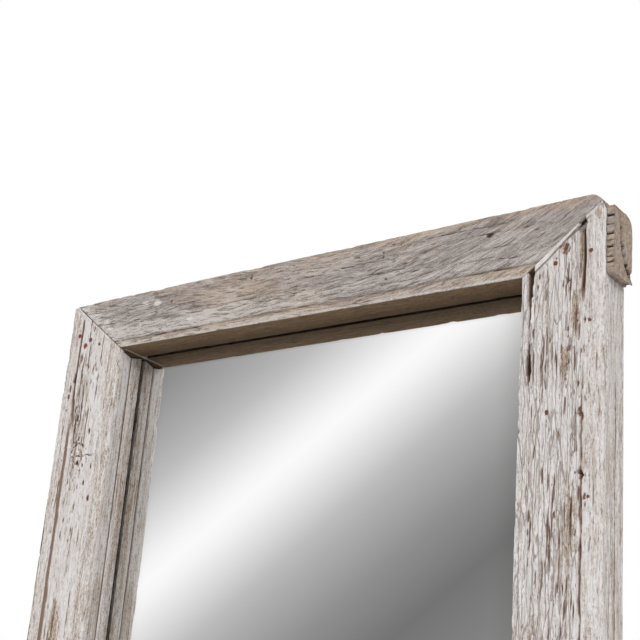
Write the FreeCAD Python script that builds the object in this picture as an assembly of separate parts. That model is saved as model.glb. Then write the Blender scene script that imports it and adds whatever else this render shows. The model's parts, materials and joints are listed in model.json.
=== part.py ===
"""Wall mirror in a frame of reclaimed timber.

Millimetres. Seen from the front, X runs to the right and Z up. Y runs into the wall, so the front faces -Y.
The origin is the middle of the top wall pad, on the wall plane Y = 0.
"""
import FreeCAD, Part
import math
import os

Vector = FreeCAD.Vector

# Front frame
FRAME_WIDTH = 720.0
FRAME_HEIGHT = 1200.0
CASING_THICKNESS = 46.0
STILE_WIDTH = 89.5
HEAD_DEPTH = 67.0
BOTTOM_DEPTH = 80.0
HEAD_RISE = 11.5
MITRE_LIP = 8.0

# Mitres of the head: where the left one meets the top edge, and the run and rise of the right one
LEFT_MITRE_INSET = 4.5
RIGHT_MITRE = (85.4, 68.6)

# Worn upper right corner: where the top edge starts to fall, a point of the curve, where it meets the side
WORN_START = 20.0
WORN_MIDDLE = (5.5, 5.0)
WORN_END = 6.5

# Horn of the head rail and the lugs that house its ends in the stiles
HORN_LENGTH = 8.5
HORN_ROOT = 10.0
HORN_DROP = 3.5
HORN_ROUND = 13.0
# Cheek of the horn beside the stile's lip: its depth from the front and its gap to the stile
HORN_CHEEK = 2.5
HORN_GAP = 0.4
# Rotted groove in the end of the horn: turning points (depth from the front, distance down) and section
HORN_GROOVE = [(17.0, 24.0), (23.5, 51.0), (41.0, 60.0)]
HORN_GROOVE_WIDTH = 5.0
HORN_GROOVE_DEPTH = 4.0
LUG_DROP = 8.0

# Stub tenons of the stiles
TENON_WIDTH = 44.0
TENON_THICKNESS = 14.0
TENON_LENGTH = 25.0
TENON_DEPTH = 20.0
JOINERY_GAP = 0.2

# Split beside the inner edge of the right stile: across from that edge, width, depth, and its two ends
SPLIT = (10.0, 7.0, 9.0, 58.0, 150.0)

# Mouldings; distances along a stile are measured down from the upper left corner
# Each run of a stile's groove: distance of its middle from the outer edge, width, depth, and its two ends
LEFT_GROOVE = [(20.6, 2.0, 3.0, 18.0, 130.0), (24.5, 9.0, 4.0, 130.0, 1100.0)]
RIGHT_GROOVE = [(24.0, 8.0, 6.0, 16.0, 82.0), (21.5, 3.0, 4.0, 82.0, 1100.0)]
REVEAL_LINE_DEPTH = 23.0
RAIL_BEAD_HEIGHT = 12.0
SCRATCH_LINE = 1.5
ARRIS = 2.5

# Glass and its backing, in the rebate at the back
GLASS_REBATE = 10.0
GLASS_THICKNESS = 4.0
GLASS_LAP = 8.0
BACKING_THICKNESS = 3.0
BACKING_LAP = 9.0
BLOCK_LENGTH = 40.0
BLOCK_PLACE = 140.0

# Nails: places across from the left edge and down from the upper left corner
NAIL_HEAD_RADIUS = 2.6
NAIL_HEAD = 1.0
NAIL_RADIUS = 1.3
NAIL_LENGTH = 38.0
OLD_NAIL_LENGTH = 16.0
CORNER_NAILS = [
    (16.5, 42.5), (36.7, 49.3), (29.4, 56.2), (52.6, 57.4), (666.6, 56.1), (677.6, 42.1), (704.6, 49.1),
    (18.0, 1150.0), (34.0, 1141.0), (52.0, 1134.0), (668.0, 1134.0), (688.0, 1141.0), (704.0, 1152.0),
]
OLD_NAILS_LEFT = [(68.5, 250.5), (13.0, 610.0), (58.0, 905.0)]
OLD_NAILS_RIGHT = [(704.0, 120.4), (661.2, 207.6), (705.5, 292.2), (672.0, 720.0), (706.0, 980.0)]
OLD_NAILS_HEAD = [(163.8, 19.4), (284.0, 9.0), (463.8, 14.9)]

DRILL_GAP = 0.1

# Rubber pads that keep the frame off the wall: one behind the head, two behind the lower corners
PAD_THICKNESS = 4.0
PAD_RADIUS = 10.0
TOP_PAD_DROP = 14.0
LOW_PAD_INSET = 40.0
LOW_PAD_LIFT = 40.0

# Turn buttons that hold the backing board
BUTTON_LENGTH = 34.0
BUTTON_WIDTH = 12.0
BUTTON_THICKNESS = 1.6
BUTTON_TAIL = 7.0
BUTTON_LIFT = 20.0
BUTTON_GAP = 0.3
BUTTON_SCREW_RADIUS = 1.7
BUTTON_FIT = 0.07
BUTTON_SCREW_LENGTH = 20.0
BUTTON_HEAD_RADIUS = 3.5
BUTTON_HEAD = 1.5
SIDE_BUTTON_PLACES = {"upper": 400.0, "lower": 900.0}

# Strap hangers with swinging rings, let into pockets in the back of the stiles
POCKET_WIDTH = 28.0
POCKET_DEPTH = 7.0
POCKET_PLACE = 49.5
POCKET_TOP = 224.0
POCKET_BOTTOM = 318.0
RING_PIVOT_DROP = 254.0
STRAP_WIDTH = 16.0
STRAP_THICKNESS = 2.0
STRAP_BOTTOM = 312.0
EYE_RADIUS = 4.4
EYE_LENGTH = 12.0
EYE_FLOOR_GAP = 0.2
SHOULDER_GAP = 2.0
RING_WIRE = 2.25
RING_FIT = 0.08
RING_RADIUS = 10.0
RING_CORNER = 4.0
RING_LEG = 9.0
HANGER_SCREW_RADIUS = 1.9
HANGER_SCREW_LENGTH = 24.0
HANGER_HEAD_RADIUS = 3.6
HANGER_HEAD = 2.2
HANGER_SCREW_PLACES = (285.0, 303.0)

# How far a cutting tool runs past what it cuts
OVERCUT = 1.0

# Levels worked out from the driving dimensions
HALF = FRAME_WIDTH / 2
INNER = HALF - STILE_WIDTH
TOP = TOP_PAD_DROP
BOTTOM = TOP - FRAME_HEIGHT
OPEN_TOP = TOP - HEAD_DEPTH
OPEN_BOTTOM = BOTTOM + BOTTOM_DEPTH
LUG_BOTTOM = OPEN_TOP - LUG_DROP
CASING_BACK = -PAD_THICKNESS
FRONT = CASING_BACK - CASING_THICKNESS
LIP_BACK = FRONT + MITRE_LIP
BACKING_FRONT = CASING_BACK - BACKING_THICKNESS
GLASS_FRONT = BACKING_FRONT - GLASS_THICKNESS
POCKET_FLOOR = CASING_BACK - POCKET_DEPTH
POCKET_CENTRE = INNER + POCKET_PLACE
RING_PIVOT = (POCKET_FLOOR + EYE_FLOOR_GAP + EYE_RADIUS, TOP - RING_PIVOT_DROP)


# Shape helpers
def box(x0, x1, y0, y1, z0, z1):
    return Part.makeBox(x1 - x0, y1 - y0, z1 - z0, Vector(x0, y0, z0))


def slab(points, y0, y1):
    """Extrudes an outline of (x, z) points from y0 to y1."""
    corners = [Vector(x, y0, z) for x, z in points]
    face = Part.Face(Part.makePolygon(corners + corners[:1]))
    return face.extrude(Vector(0, y1 - y0, 0))


def bar(points, z0, z1):
    """Extrudes an outline of (x, y) points from z0 to z1."""
    corners = [Vector(x, y, z0) for x, y in points]
    face = Part.Face(Part.makePolygon(corners + corners[:1]))
    return face.extrude(Vector(0, 0, z1 - z0))


def batten(points, x0, x1):
    """Extrudes an outline of (y, z) points from x0 to x1."""
    corners = [Vector(x0, y, z) for y, z in points]
    face = Part.Face(Part.makePolygon(corners + corners[:1]))
    return face.extrude(Vector(x1 - x0, 0, 0))


def rod(x, y0, y1, z, radius):
    """Round rod along Y."""
    return Part.makeCylinder(radius, y1 - y0, Vector(x, y0, z), Vector(0, 1, 0))


def fuse(shapes):
    return shapes[0].multiFuse(shapes[1:]).removeSplitter() if len(shapes) > 1 else shapes[0]


def cut(shape, tools):
    for tool in tools:
        shape = shape.cut(tool)
    return shape


def mirrored(shape):
    return shape.mirror(Vector(0, 0, 0), Vector(1, 0, 0))


def save(name, shape):
    shape.exportStep(f"parts/{name}.step")


# Front frame
def frame_slab(y0, y1):
    """Whole outline of the front frame, with its rising head and worn corner."""
    worn_top = Vector(HALF - WORN_START, y0, TOP + HEAD_RISE)
    worn_side = Vector(HALF, y0, TOP - WORN_END)
    worn_middle = Vector(HALF - WORN_MIDDLE[0], y0, TOP + WORN_MIDDLE[1])
    lower_right = Vector(HALF, y0, BOTTOM)
    lower_left = Vector(-HALF, y0, BOTTOM)
    upper_left = Vector(-HALF, y0, TOP)
    edges = [
        Part.makeLine(lower_left, lower_right),
        Part.makeLine(lower_right, worn_side),
        Part.Arc(worn_side, worn_middle, worn_top).toShape(),
        Part.makeLine(worn_top, upper_left),
        Part.makeLine(upper_left, lower_left),
    ]
    return Part.Face(Part.Wire(edges)).extrude(Vector(0, y1 - y0, 0))


def mitred_front():
    """Front lips of the left stile, right stile, head and bottom rail."""
    before, behind = FRONT - OVERCUT, LIP_BACK + OVERCUT
    lip = frame_slab(FRONT, LIP_BACK).cut(opening(before, behind, 0))
    reach = 2 * RIGHT_MITRE[1]
    left_end = LEFT_MITRE_INSET - HALF
    inner_edge = [(-INNER, OPEN_TOP), (INNER, OPEN_TOP)]
    above = [(INNER + 2 * RIGHT_MITRE[0], OPEN_TOP + reach), (left_end, OPEN_TOP + reach)]
    head_zone = slab([(left_end, TOP)] + inner_edge + above, before, behind)
    bottom_outline = [(-HALF, BOTTOM), (HALF, BOTTOM), (INNER, OPEN_BOTTOM), (-INNER, OPEN_BOTTOM)]
    bottom_zone = slab(bottom_outline, before, behind)
    uprights = lip.cut(head_zone).cut(bottom_zone)
    left = uprights.common(box(-HALF, 0, FRONT, LIP_BACK, BOTTOM, TOP + reach))
    right = uprights.common(box(0, HALF, FRONT, LIP_BACK, BOTTOM, TOP + reach))
    return left, right, lip.common(head_zone), lip.common(bottom_zone)


def opening(y0, y1, grow):
    """Block as large as the sight opening, grown on every side."""
    return box(-INNER - grow, INNER + grow, y0, y1, OPEN_BOTTOM - grow, OPEN_TOP + grow)


def glass_rebate():
    """Rebate in the back of the frame that takes the glass and its backing."""
    return opening(GLASS_FRONT, CASING_BACK + OVERCUT, GLASS_REBATE)


def hanger_pocket():
    """Recess in the back of the right stile that holds its hanger."""
    return box(POCKET_CENTRE - POCKET_WIDTH / 2, POCKET_CENTRE + POCKET_WIDTH / 2,
               POCKET_FLOOR, CASING_BACK + OVERCUT, TOP - POCKET_BOTTOM, TOP - POCKET_TOP)


def tenons(gap):
    """Stub tenons of the right stile, or with a gap their mortises."""
    middle = (INNER + HALF) / 2
    x0, x1 = middle - TENON_WIDTH / 2 - gap, middle + TENON_WIDTH / 2 + gap
    y0, y1 = FRONT + TENON_DEPTH - gap, FRONT + TENON_DEPTH + TENON_THICKNESS + gap
    upper = box(x0, x1, y0, y1, LUG_BOTTOM, LUG_BOTTOM + TENON_LENGTH + gap)
    lower = box(x0, x1, y0, y1, OPEN_BOTTOM - TENON_LENGTH - gap, OPEN_BOTTOM)
    return upper, lower


def bead_groove(runs):
    """Round-ended groove that sets off the outer bead of a stile, in the right stile's place."""
    shapes = []
    for across, width, depth, start, end in runs:
        x, radius = HALF - across, width / 2
        y0, y1 = FRONT - OVERCUT, FRONT + depth
        z0, z1 = TOP - end, TOP - start
        shapes.append(box(x - radius, x + radius, y0, y1, z0, z1))
        shapes += [rod(x, y0, y1, z, radius) for z in (z0, z1)]
    return fuse(shapes)


def split():
    """Wedge-shaped split that opens towards the top of the right stile."""
    across, width, depth, start, end = SPLIT
    x = INNER + across
    points = [(x - width / 2, TOP - start), (x + width / 2, TOP - start), (x, TOP - end)]
    return slab(points, FRONT - OVERCUT, FRONT + depth)


def stile_mouldings():
    """Tools that cut the inner arris and the scratched line of the right stile's reveal."""
    inside, before = INNER - OVERCUT, FRONT - OVERCUT
    reach = ARRIS + OVERCUT
    arris = bar([(inside, before), (INNER + reach, before), (inside, FRONT + reach)], OPEN_BOTTOM, OPEN_TOP)
    line = FRONT + REVEAL_LINE_DEPTH
    reach = SCRATCH_LINE + OVERCUT
    notch = [(inside, line - reach), (INNER + SCRATCH_LINE, line), (inside, line + reach)]
    scratch = bar(notch, OPEN_BOTTOM, OPEN_TOP)
    return [arris, scratch]


def stile(lip, side):
    """Left stile for side -1, right stile for side 1."""
    turn = mirrored if side < 0 else Part.Shape.copy
    own = [bead_groove(LEFT_GROOVE)] if side < 0 else [bead_groove(RIGHT_GROOVE), split()]
    body = box(INNER, HALF, LIP_BACK, CASING_BACK, OPEN_BOTTOM, LUG_BOTTOM)
    timber = fuse([lip, turn(body)] + [turn(tenon) for tenon in tenons(0)])
    tools = own + stile_mouldings() + [hanger_pocket(), glass_rebate()]
    return cut(timber, [turn(tool) for tool in tools])


def rail_scratch(z):
    """Scratched line along a rail's front."""
    reach = SCRATCH_LINE + OVERCUT
    before = FRONT - OVERCUT
    return batten([(before, z - reach), (FRONT + SCRATCH_LINE, z), (before, z + reach)], -HALF, HALF)


def horn():
    """Stub of the head rail past the right stile, round at its upper back edge, with a cheek in front."""
    x = HALF - HORN_ROOT
    low, high = LUG_BOTTOM, TOP - HORN_DROP
    bend = HORN_ROUND * (1 - math.sqrt(0.5))
    front_low, front_high = Vector(x, LIP_BACK, low), Vector(x, LIP_BACK, high)
    back_low = Vector(x, CASING_BACK, low)
    round_low = Vector(x, CASING_BACK, high - HORN_ROUND)
    round_middle = Vector(x, CASING_BACK - bend, high - bend)
    round_high = Vector(x, CASING_BACK - HORN_ROUND, high)
    edges = [
        Part.makeLine(front_low, back_low),
        Part.makeLine(back_low, round_low),
        Part.Arc(round_low, round_middle, round_high).toShape(),
        Part.makeLine(round_high, front_high),
        Part.makeLine(front_high, front_low),
    ]
    stub = Part.Face(Part.Wire(edges)).extrude(Vector(HORN_ROOT + HORN_LENGTH, 0, 0))
    cheek = box(HALF + HORN_GAP, HALF + HORN_LENGTH, FRONT + HORN_CHEEK, LIP_BACK, low, high)
    return fuse([stub, cheek])


def horn_groove():
    """Groove rotted into the end of the horn, round at its ends and turns."""
    x0, x1 = HALF + HORN_LENGTH - HORN_GROOVE_DEPTH, HALF + HORN_LENGTH + OVERCUT
    half = HORN_GROOVE_WIDTH / 2
    shapes = []
    for depth, down in HORN_GROOVE:
        middle = Vector(x0, FRONT + depth, TOP - down)
        shapes.append(Part.makeCylinder(half, x1 - x0, middle, Vector(1, 0, 0)))
    for (depth0, down0), (depth1, down1) in zip(HORN_GROOVE, HORN_GROOVE[1:]):
        run, fall = depth1 - depth0, down1 - down0
        length = math.hypot(run, fall)
        side_y, side_z = half * fall / length, half * run / length
        y0, z0 = FRONT + depth0, TOP - down0
        y1, z1 = FRONT + depth1, TOP - down1
        corners = [(y0 + side_y, z0 + side_z), (y1 + side_y, z1 + side_z),
                   (y1 - side_y, z1 - side_z), (y0 - side_y, z0 - side_z)]
        shapes.append(batten(corners, x0, x1))
    return fuse(shapes)


def head_rail(lip):
    above = box(-HALF, HALF, LIP_BACK, CASING_BACK, OPEN_TOP, TOP + HEAD_DEPTH)
    beam = frame_slab(LIP_BACK, CASING_BACK).common(above)
    lug = box(INNER, HALF, LIP_BACK, CASING_BACK, LUG_BOTTOM, OPEN_TOP)
    timber = fuse([beam, lip, lug, mirrored(lug), horn()])
    mortise = tenons(JOINERY_GAP)[0]
    scratch = rail_scratch(OPEN_TOP + RAIL_BEAD_HEIGHT)
    return cut(timber, [glass_rebate(), mortise, mirrored(mortise), scratch, horn_groove()])


def bottom_rail(lip):
    beam = box(-HALF, HALF, LIP_BACK, CASING_BACK, BOTTOM, OPEN_BOTTOM)
    mortise = tenons(JOINERY_GAP)[1]
    scratch = rail_scratch(OPEN_BOTTOM - RAIL_BEAD_HEIGHT)
    return cut(fuse([beam, lip]), [glass_rebate(), mortise, mirrored(mortise), scratch])


# Glass and backing
def mirror_glass():
    return opening(GLASS_FRONT, BACKING_FRONT, GLASS_LAP)


def backing_board():
    return opening(BACKING_FRONT, CASING_BACK, BACKING_LAP)


def setting_blocks():
    z0, z1 = OPEN_BOTTOM - GLASS_REBATE, OPEN_BOTTOM - GLASS_LAP
    half = BLOCK_LENGTH / 2
    places = (-BLOCK_PLACE, BLOCK_PLACE)
    return [box(x - half, x + half, GLASS_FRONT, BACKING_FRONT, z0, z1) for x in places]


# Fasteners
def nails(places, length, gap=0.0):
    """Nails driven from the front, or with a gap the holes that they fill."""
    shapes = []
    for across, down in places:
        x, z = across - HALF, TOP - down
        head = rod(x, FRONT, FRONT + NAIL_HEAD, z, NAIL_HEAD_RADIUS + gap)
        shank = rod(x, FRONT, FRONT + length + gap, z, NAIL_RADIUS + gap)
        shapes.append(fuse([head, shank]))
    return shapes


def wall_pads():
    """Round rubber pads that touch the wall."""
    low = BOTTOM + LOW_PAD_LIFT
    places = [(0, 0), (LOW_PAD_INSET - HALF, low), (HALF - LOW_PAD_INSET, low)]
    return [rod(x, CASING_BACK, 0, z, PAD_RADIUS) for x, z in places]


def button_places():
    """Pivot (x, z) of each turn button and the way it points."""
    places = {}
    for name, side in (("left", -1), ("right", 1)):
        for level, down in SIDE_BUTTON_PLACES.items():
            places[f"{name}_{level}"] = ((side * (INNER + BUTTON_LIFT), TOP - down), (-side, 0))
    places["top"] = ((0, OPEN_TOP + BUTTON_LIFT), (0, -1))
    places["bottom"] = ((0, OPEN_BOTTOM - BUTTON_LIFT), (0, 1))
    return places


def turn_button(pivot, way):
    """Flat plate with round ends, made along +X and turned to its way."""
    half = BUTTON_WIDTH / 2
    y0 = CASING_BACK + BUTTON_GAP
    y1 = y0 + BUTTON_THICKNESS
    start, end = half - BUTTON_TAIL, BUTTON_LENGTH - BUTTON_TAIL - half
    plate = fuse([box(start, end, y0, y1, -half, half)] + [rod(x, y0, y1, 0, half) for x in (start, end)])
    plate = plate.cut(rod(0, y0 - OVERCUT, y1 + OVERCUT, 0, BUTTON_SCREW_RADIUS + BUTTON_FIT))
    plate.rotate(Vector(0, 0, 0), Vector(0, -1, 0), math.degrees(math.atan2(way[1], way[0])))
    plate.translate(Vector(pivot[0], 0, pivot[1]))
    return plate


def button_screws(gap=0.0):
    """Round-headed pivot screws of the turn buttons, or with a gap the holes of their shanks."""
    head_back = CASING_BACK + 2 * BUTTON_GAP + BUTTON_THICKNESS
    shapes = []
    for (x, z), _ in button_places().values():
        shank = rod(x, CASING_BACK - BUTTON_SCREW_LENGTH - gap, head_back, z, BUTTON_SCREW_RADIUS + gap)
        head = [] if gap else [rod(x, head_back, head_back + BUTTON_HEAD, z, BUTTON_HEAD_RADIUS)]
        shapes.append(fuse([shank] + head))
    return shapes


# Strap hangers
def hanger_screws(side, gap=0.0):
    """Screws of one strap, or with a gap the holes of their shanks."""
    seat = POCKET_FLOOR + STRAP_THICKNESS
    shapes = []
    for down in HANGER_SCREW_PLACES:
        x, z = side * POCKET_CENTRE, TOP - down
        shank = rod(x, POCKET_FLOOR - HANGER_SCREW_LENGTH - gap, seat + gap, z, HANGER_SCREW_RADIUS + gap)
        head = [] if gap else [rod(x, seat, seat + HANGER_HEAD, z, HANGER_HEAD_RADIUS)]
        shapes.append(fuse([shank] + head))
    return shapes


def hanger_strap(side):
    """Flat strap whose upper end is rolled into an eye round the ring's bar."""
    x = side * POCKET_CENTRE
    y, z = RING_PIVOT
    seat = POCKET_FLOOR + STRAP_THICKNESS
    shoulder = z - EYE_RADIUS - SHOULDER_GAP
    half, neck_half = STRAP_WIDTH / 2, EYE_LENGTH / 2
    plate = box(x - half, x + half, POCKET_FLOOR, seat, TOP - STRAP_BOTTOM, shoulder)
    neck = box(x - neck_half, x + neck_half, POCKET_FLOOR, seat, shoulder, z)
    along = Vector(1, 0, 0)
    eye = Part.makeCylinder(EYE_RADIUS, EYE_LENGTH, Vector(x - neck_half, y, z), along)
    bore_start = Vector(x - neck_half - OVERCUT, y, z)
    bore = Part.makeCylinder(RING_WIRE + RING_FIT, EYE_LENGTH + 2 * OVERCUT, bore_start, along)
    return cut(fuse([plate, neck, eye]), [bore] + hanger_screws(side, DRILL_GAP))


def hanger_ring(side):
    """D-shaped wire ring hanging from its straight bar in the eye, with two legs and a half-round bow."""
    x = side * POCKET_CENTRE
    y, z = RING_PIVOT
    half, bend = RING_RADIUS, RING_CORNER
    tilt = bend * math.sqrt(0.5)

    def point(across, down):
        return Vector(x + across, y, z - down)

    flat = half - bend
    path = Part.Wire([
        Part.makeLine(point(0, 0), point(flat, 0)),
        Part.Arc(point(flat, 0), point(flat + tilt, bend - tilt), point(half, bend)).toShape(),
        Part.makeLine(point(half, bend), point(half, RING_LEG)),
        Part.Arc(point(half, RING_LEG), point(0, RING_LEG + half), point(-half, RING_LEG)).toShape(),
        Part.makeLine(point(-half, RING_LEG), point(-half, bend)),
        Part.Arc(point(-half, bend), point(-flat - tilt, bend - tilt), point(-flat, 0)).toShape(),
        Part.makeLine(point(-flat, 0), point(0, 0)),
    ])
    section = Part.Wire([Part.makeCircle(RING_WIRE, point(0, 0), Vector(1, 0, 0))])
    return path.makePipeShell([section], True, False)


# Assembly
def main():
    os.makedirs("parts", exist_ok=True)
    left_lip, right_lip, head_lip, bottom_lip = mitred_front()
    back_holes = button_screws(DRILL_GAP) + hanger_screws(-1, DRILL_GAP) + hanger_screws(1, DRILL_GAP)
    corner_holes = nails(CORNER_NAILS, NAIL_LENGTH, DRILL_GAP)
    old_nails = OLD_NAILS_LEFT + OLD_NAILS_RIGHT + OLD_NAILS_HEAD
    old_holes = nails(old_nails, OLD_NAIL_LENGTH, DRILL_GAP)

    front = {
        "left_stile": stile(left_lip, -1),
        "right_stile": stile(right_lip, 1),
        "head_rail": head_rail(head_lip),
        "bottom_rail": bottom_rail(bottom_lip),
    }
    for name, timber in front.items():
        save(name, cut(timber, corner_holes + old_holes + back_holes))

    save("mirror_glass", mirror_glass())
    save("backing_board", backing_board())
    save("setting_blocks", Part.makeCompound(setting_blocks()))
    save("corner_nails", Part.makeCompound(nails(CORNER_NAILS, NAIL_LENGTH)))
    save("old_nails", Part.makeCompound(nails(old_nails, OLD_NAIL_LENGTH)))
    save("wall_pads", Part.makeCompound(wall_pads()))
    for name, (pivot, way) in button_places().items():
        save(f"turn_button_{name}", turn_button(pivot, way))
    save("button_screws", Part.makeCompound(button_screws()))
    for name, side in (("left", -1), ("right", 1)):
        save(f"hanger_strap_{name}", hanger_strap(side))
        save(f"hanger_ring_{name}", hanger_ring(side))
    save("hanger_screws", Part.makeCompound(hanger_screws(-1) + hanger_screws(1)))


main()
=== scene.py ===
"""Looks of a wall mirror in a frame of weathered, whitewashed timber.

The timbers are built as dense grids in millimetres, round their outline and along their length.
Every split, chip and groove is sunk into those grids before they are placed in the part's frame,
which is in metres.
"""
import json
import math

import bmesh
import bpy
import numpy as np
from bpy.props import FloatProperty, FloatVectorProperty, IntProperty, PointerProperty
from mathutils import Matrix, Vector


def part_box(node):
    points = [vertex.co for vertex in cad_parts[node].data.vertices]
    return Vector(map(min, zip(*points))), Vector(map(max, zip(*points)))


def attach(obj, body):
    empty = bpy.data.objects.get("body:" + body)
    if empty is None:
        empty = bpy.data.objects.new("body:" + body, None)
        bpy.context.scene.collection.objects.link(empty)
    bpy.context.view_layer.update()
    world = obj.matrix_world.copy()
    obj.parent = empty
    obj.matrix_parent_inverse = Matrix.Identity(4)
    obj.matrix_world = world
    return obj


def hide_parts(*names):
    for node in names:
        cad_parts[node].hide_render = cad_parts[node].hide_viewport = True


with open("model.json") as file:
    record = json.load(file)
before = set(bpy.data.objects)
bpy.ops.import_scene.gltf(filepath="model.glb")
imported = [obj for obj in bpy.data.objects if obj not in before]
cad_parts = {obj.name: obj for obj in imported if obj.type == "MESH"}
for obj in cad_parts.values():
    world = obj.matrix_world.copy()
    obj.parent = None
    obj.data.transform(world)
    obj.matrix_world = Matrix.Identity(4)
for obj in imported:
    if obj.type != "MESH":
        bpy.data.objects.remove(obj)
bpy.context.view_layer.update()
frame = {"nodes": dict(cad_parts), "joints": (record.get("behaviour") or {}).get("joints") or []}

bl_info = {
    "name": "Weathered Wall Mirror",
    "version": (1, 0, 0),
    "blender": (4, 5, 0),
    "location": "View3D > Sidebar > Mirror",
    "description": "Dresses the packed wall mirror with old timber, silvered glass and fittings",
    "category": "Object",
}

MM = 0.001

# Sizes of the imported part, in millimetres
HALF = 360.0
TOP = 14.0
FRONT = -50.0
LENGTH = 1200.0
WIDTH = 720.0
STILE = 89.5
HEAD = 67.0
BOTTOM = 80.0
RISE = 11.5
LIP = 8.0
THICK = 46.0
REBATE = 10.0
REBATE_DEPTH = 39.0
SHOULDER = 75.0
HORN = 8.5
HORN_FRONT = 2.5
LUG_END = 70.0
HORN_DROP = 3.5
LEFT_INSET = 4.5
RIGHT_SLOPE = 68.6 / 85.4
POCKET = (26.0, 54.0, 224.0, 318.0, 7.0)

# Depth of the scene's reveals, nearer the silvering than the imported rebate
REVEAL_BACK = 40.4
# Gap that the scene leaves at the joints of the timbers
JOINT_GAP = 0.4


# Noise and curves
def smooth(low, high, value):
    """Rises evenly from 0 at low to 1 at high."""
    part = np.clip((value - low) / (high - low), 0.0, 1.0)
    return part * part * (3.0 - 2.0 * part)


def fall(low, high, value):
    """Falls evenly from 1 at low to 0 at high."""
    return 1.0 - smooth(low, high, value)


def scatter(x, y, z, seed):
    """Number from 0 to 1 for each whole-number place."""
    mask = 0xFFFFFFFF
    mixed = (x * 374761393 + y * 668265263 + z * 1440662683 + seed * 1274126177) & mask
    mixed = ((mixed ^ (mixed >> 13)) * 1274126177) & mask
    mixed = ((mixed ^ (mixed >> 15)) * 668265263) & mask
    return (mixed ^ (mixed >> 16)) / mask


def noise(x, y, z, seed):
    """Smooth noise from -1 to 1."""
    x, y, z = np.broadcast_arrays(x, y, z)
    floors = [np.floor(value).astype(np.int64) for value in (x, y, z)]
    parts = [value - floor for value, floor in zip((x, y, z), floors)]
    eased = [part * part * (3.0 - 2.0 * part) for part in parts]
    total = np.zeros(x.shape)
    for corner in range(8):
        bits = [(corner >> k) & 1 for k in range(3)]
        weight = np.ones(x.shape)
        for bit, ease in zip(bits, eased):
            weight = weight * (ease if bit else 1.0 - ease)
        places = [floor + bit for floor, bit in zip(floors, bits)]
        total += weight * scatter(*places, seed)
    return 2.0 * total - 1.0


def wander(place, length, seed):
    """Smooth noise from -1 to 1 along a line, with swings of about a length."""
    return noise(place / length, 0.5, 0.5, seed)


def layered(x, y, z, seed, layers=3):
    """Noise with finer layers on top, from about -1 to 1."""
    total, size, norm = 0.0, 1.0, 0.0
    for layer in range(layers):
        scale = 2.0 ** layer
        total = total + size * noise(x * scale, y * scale, z * scale, seed + 17 * layer)
        norm += size
        size *= 0.55
    return total / norm


def rounded_outline(corners):
    """Closed outline from corners (across, depth, radius, step of the side that follows)."""
    points = []
    count = len(corners)
    for index, (x, y, radius, step) in enumerate(corners):
        here = np.array([x, y])
        before = np.array(corners[index - 1][:2])
        after_corner = corners[(index + 1) % count]
        after = np.array(after_corner[:2])
        to_before = (before - here) / np.linalg.norm(before - here)
        to_after = (after - here) / np.linalg.norm(after - here)
        start, end = here + radius * to_before, here + radius * to_after
        turns = 6 if radius > 1.5 else 3
        for t in np.linspace(0.0, 1.0, turns):
            points.append((1 - t) ** 2 * start + 2 * t * (1 - t) * here + t * t * end)
        goal = after - after_corner[2] * to_after
        pieces = max(1, int(math.ceil(np.linalg.norm(goal - end) / step)))
        for part in range(1, pieces):
            points.append(end + (goal - end) * part / pieces)
    return np.array(points)


def outward(points):
    """Outward unit normals of a closed outline."""
    along = np.roll(points, -1, 0) - np.roll(points, 1, 0)
    normals = np.stack([along[:, 1], -along[:, 0]], 1)
    normals /= np.linalg.norm(normals, axis=1)[:, None] + 1e-9
    x, y = points[:, 0], points[:, 1]
    area = np.sum(x * np.roll(y, -1) - np.roll(x, -1) * y)
    return normals if area > 0 else -normals


def bands(rings, size, is_closed=False):
    """Quads between rings of points that follow one another."""
    nearer = np.arange(rings * size).reshape(rings, size)
    further = np.roll(nearer, -1, 0)
    if not is_closed:
        nearer, further = nearer[:-1], further[:-1]
    quads = np.stack([nearer, np.roll(nearer, -1, 1), np.roll(further, -1, 1), further], -1)
    return [tuple(quad) for quad in quads.reshape(-1, 4).tolist()]


def caps(rings, size):
    """Faces that close the first and the last ring."""
    last = (rings - 1) * size
    return [tuple(range(size)), tuple(range(last, last + size))]


def top_line(x):
    """Height of the head's top edge above its left end, at a distance from that end."""
    highest = 700.0
    worn = np.maximum(x - highest, 0.0) / (WIDTH - highest)
    return RISE * np.minimum(x, highest) / highest - 18.0 * worn ** 3.2


def left_mitre(across):
    """Distance down to the left mitre, at a distance from the outer edge."""
    return (across - LEFT_INSET) * HEAD / (STILE - LEFT_INSET)


def right_mitre(across):
    """Distance down to the right mitre, at a distance from the outer edge."""
    return HEAD - (STILE - across) * RIGHT_SLOPE


def housed_top(across, depth):
    """Distance down to the top of a stile behind its lip: uneven at the reveal, square behind it."""
    reveal = np.interp(depth, [5.6, 20.8, 41.5], [69.0, 73.2, 68.3])
    return np.where(across > LUG_END, reveal, SHOULDER) + JOINT_GAP


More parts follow.
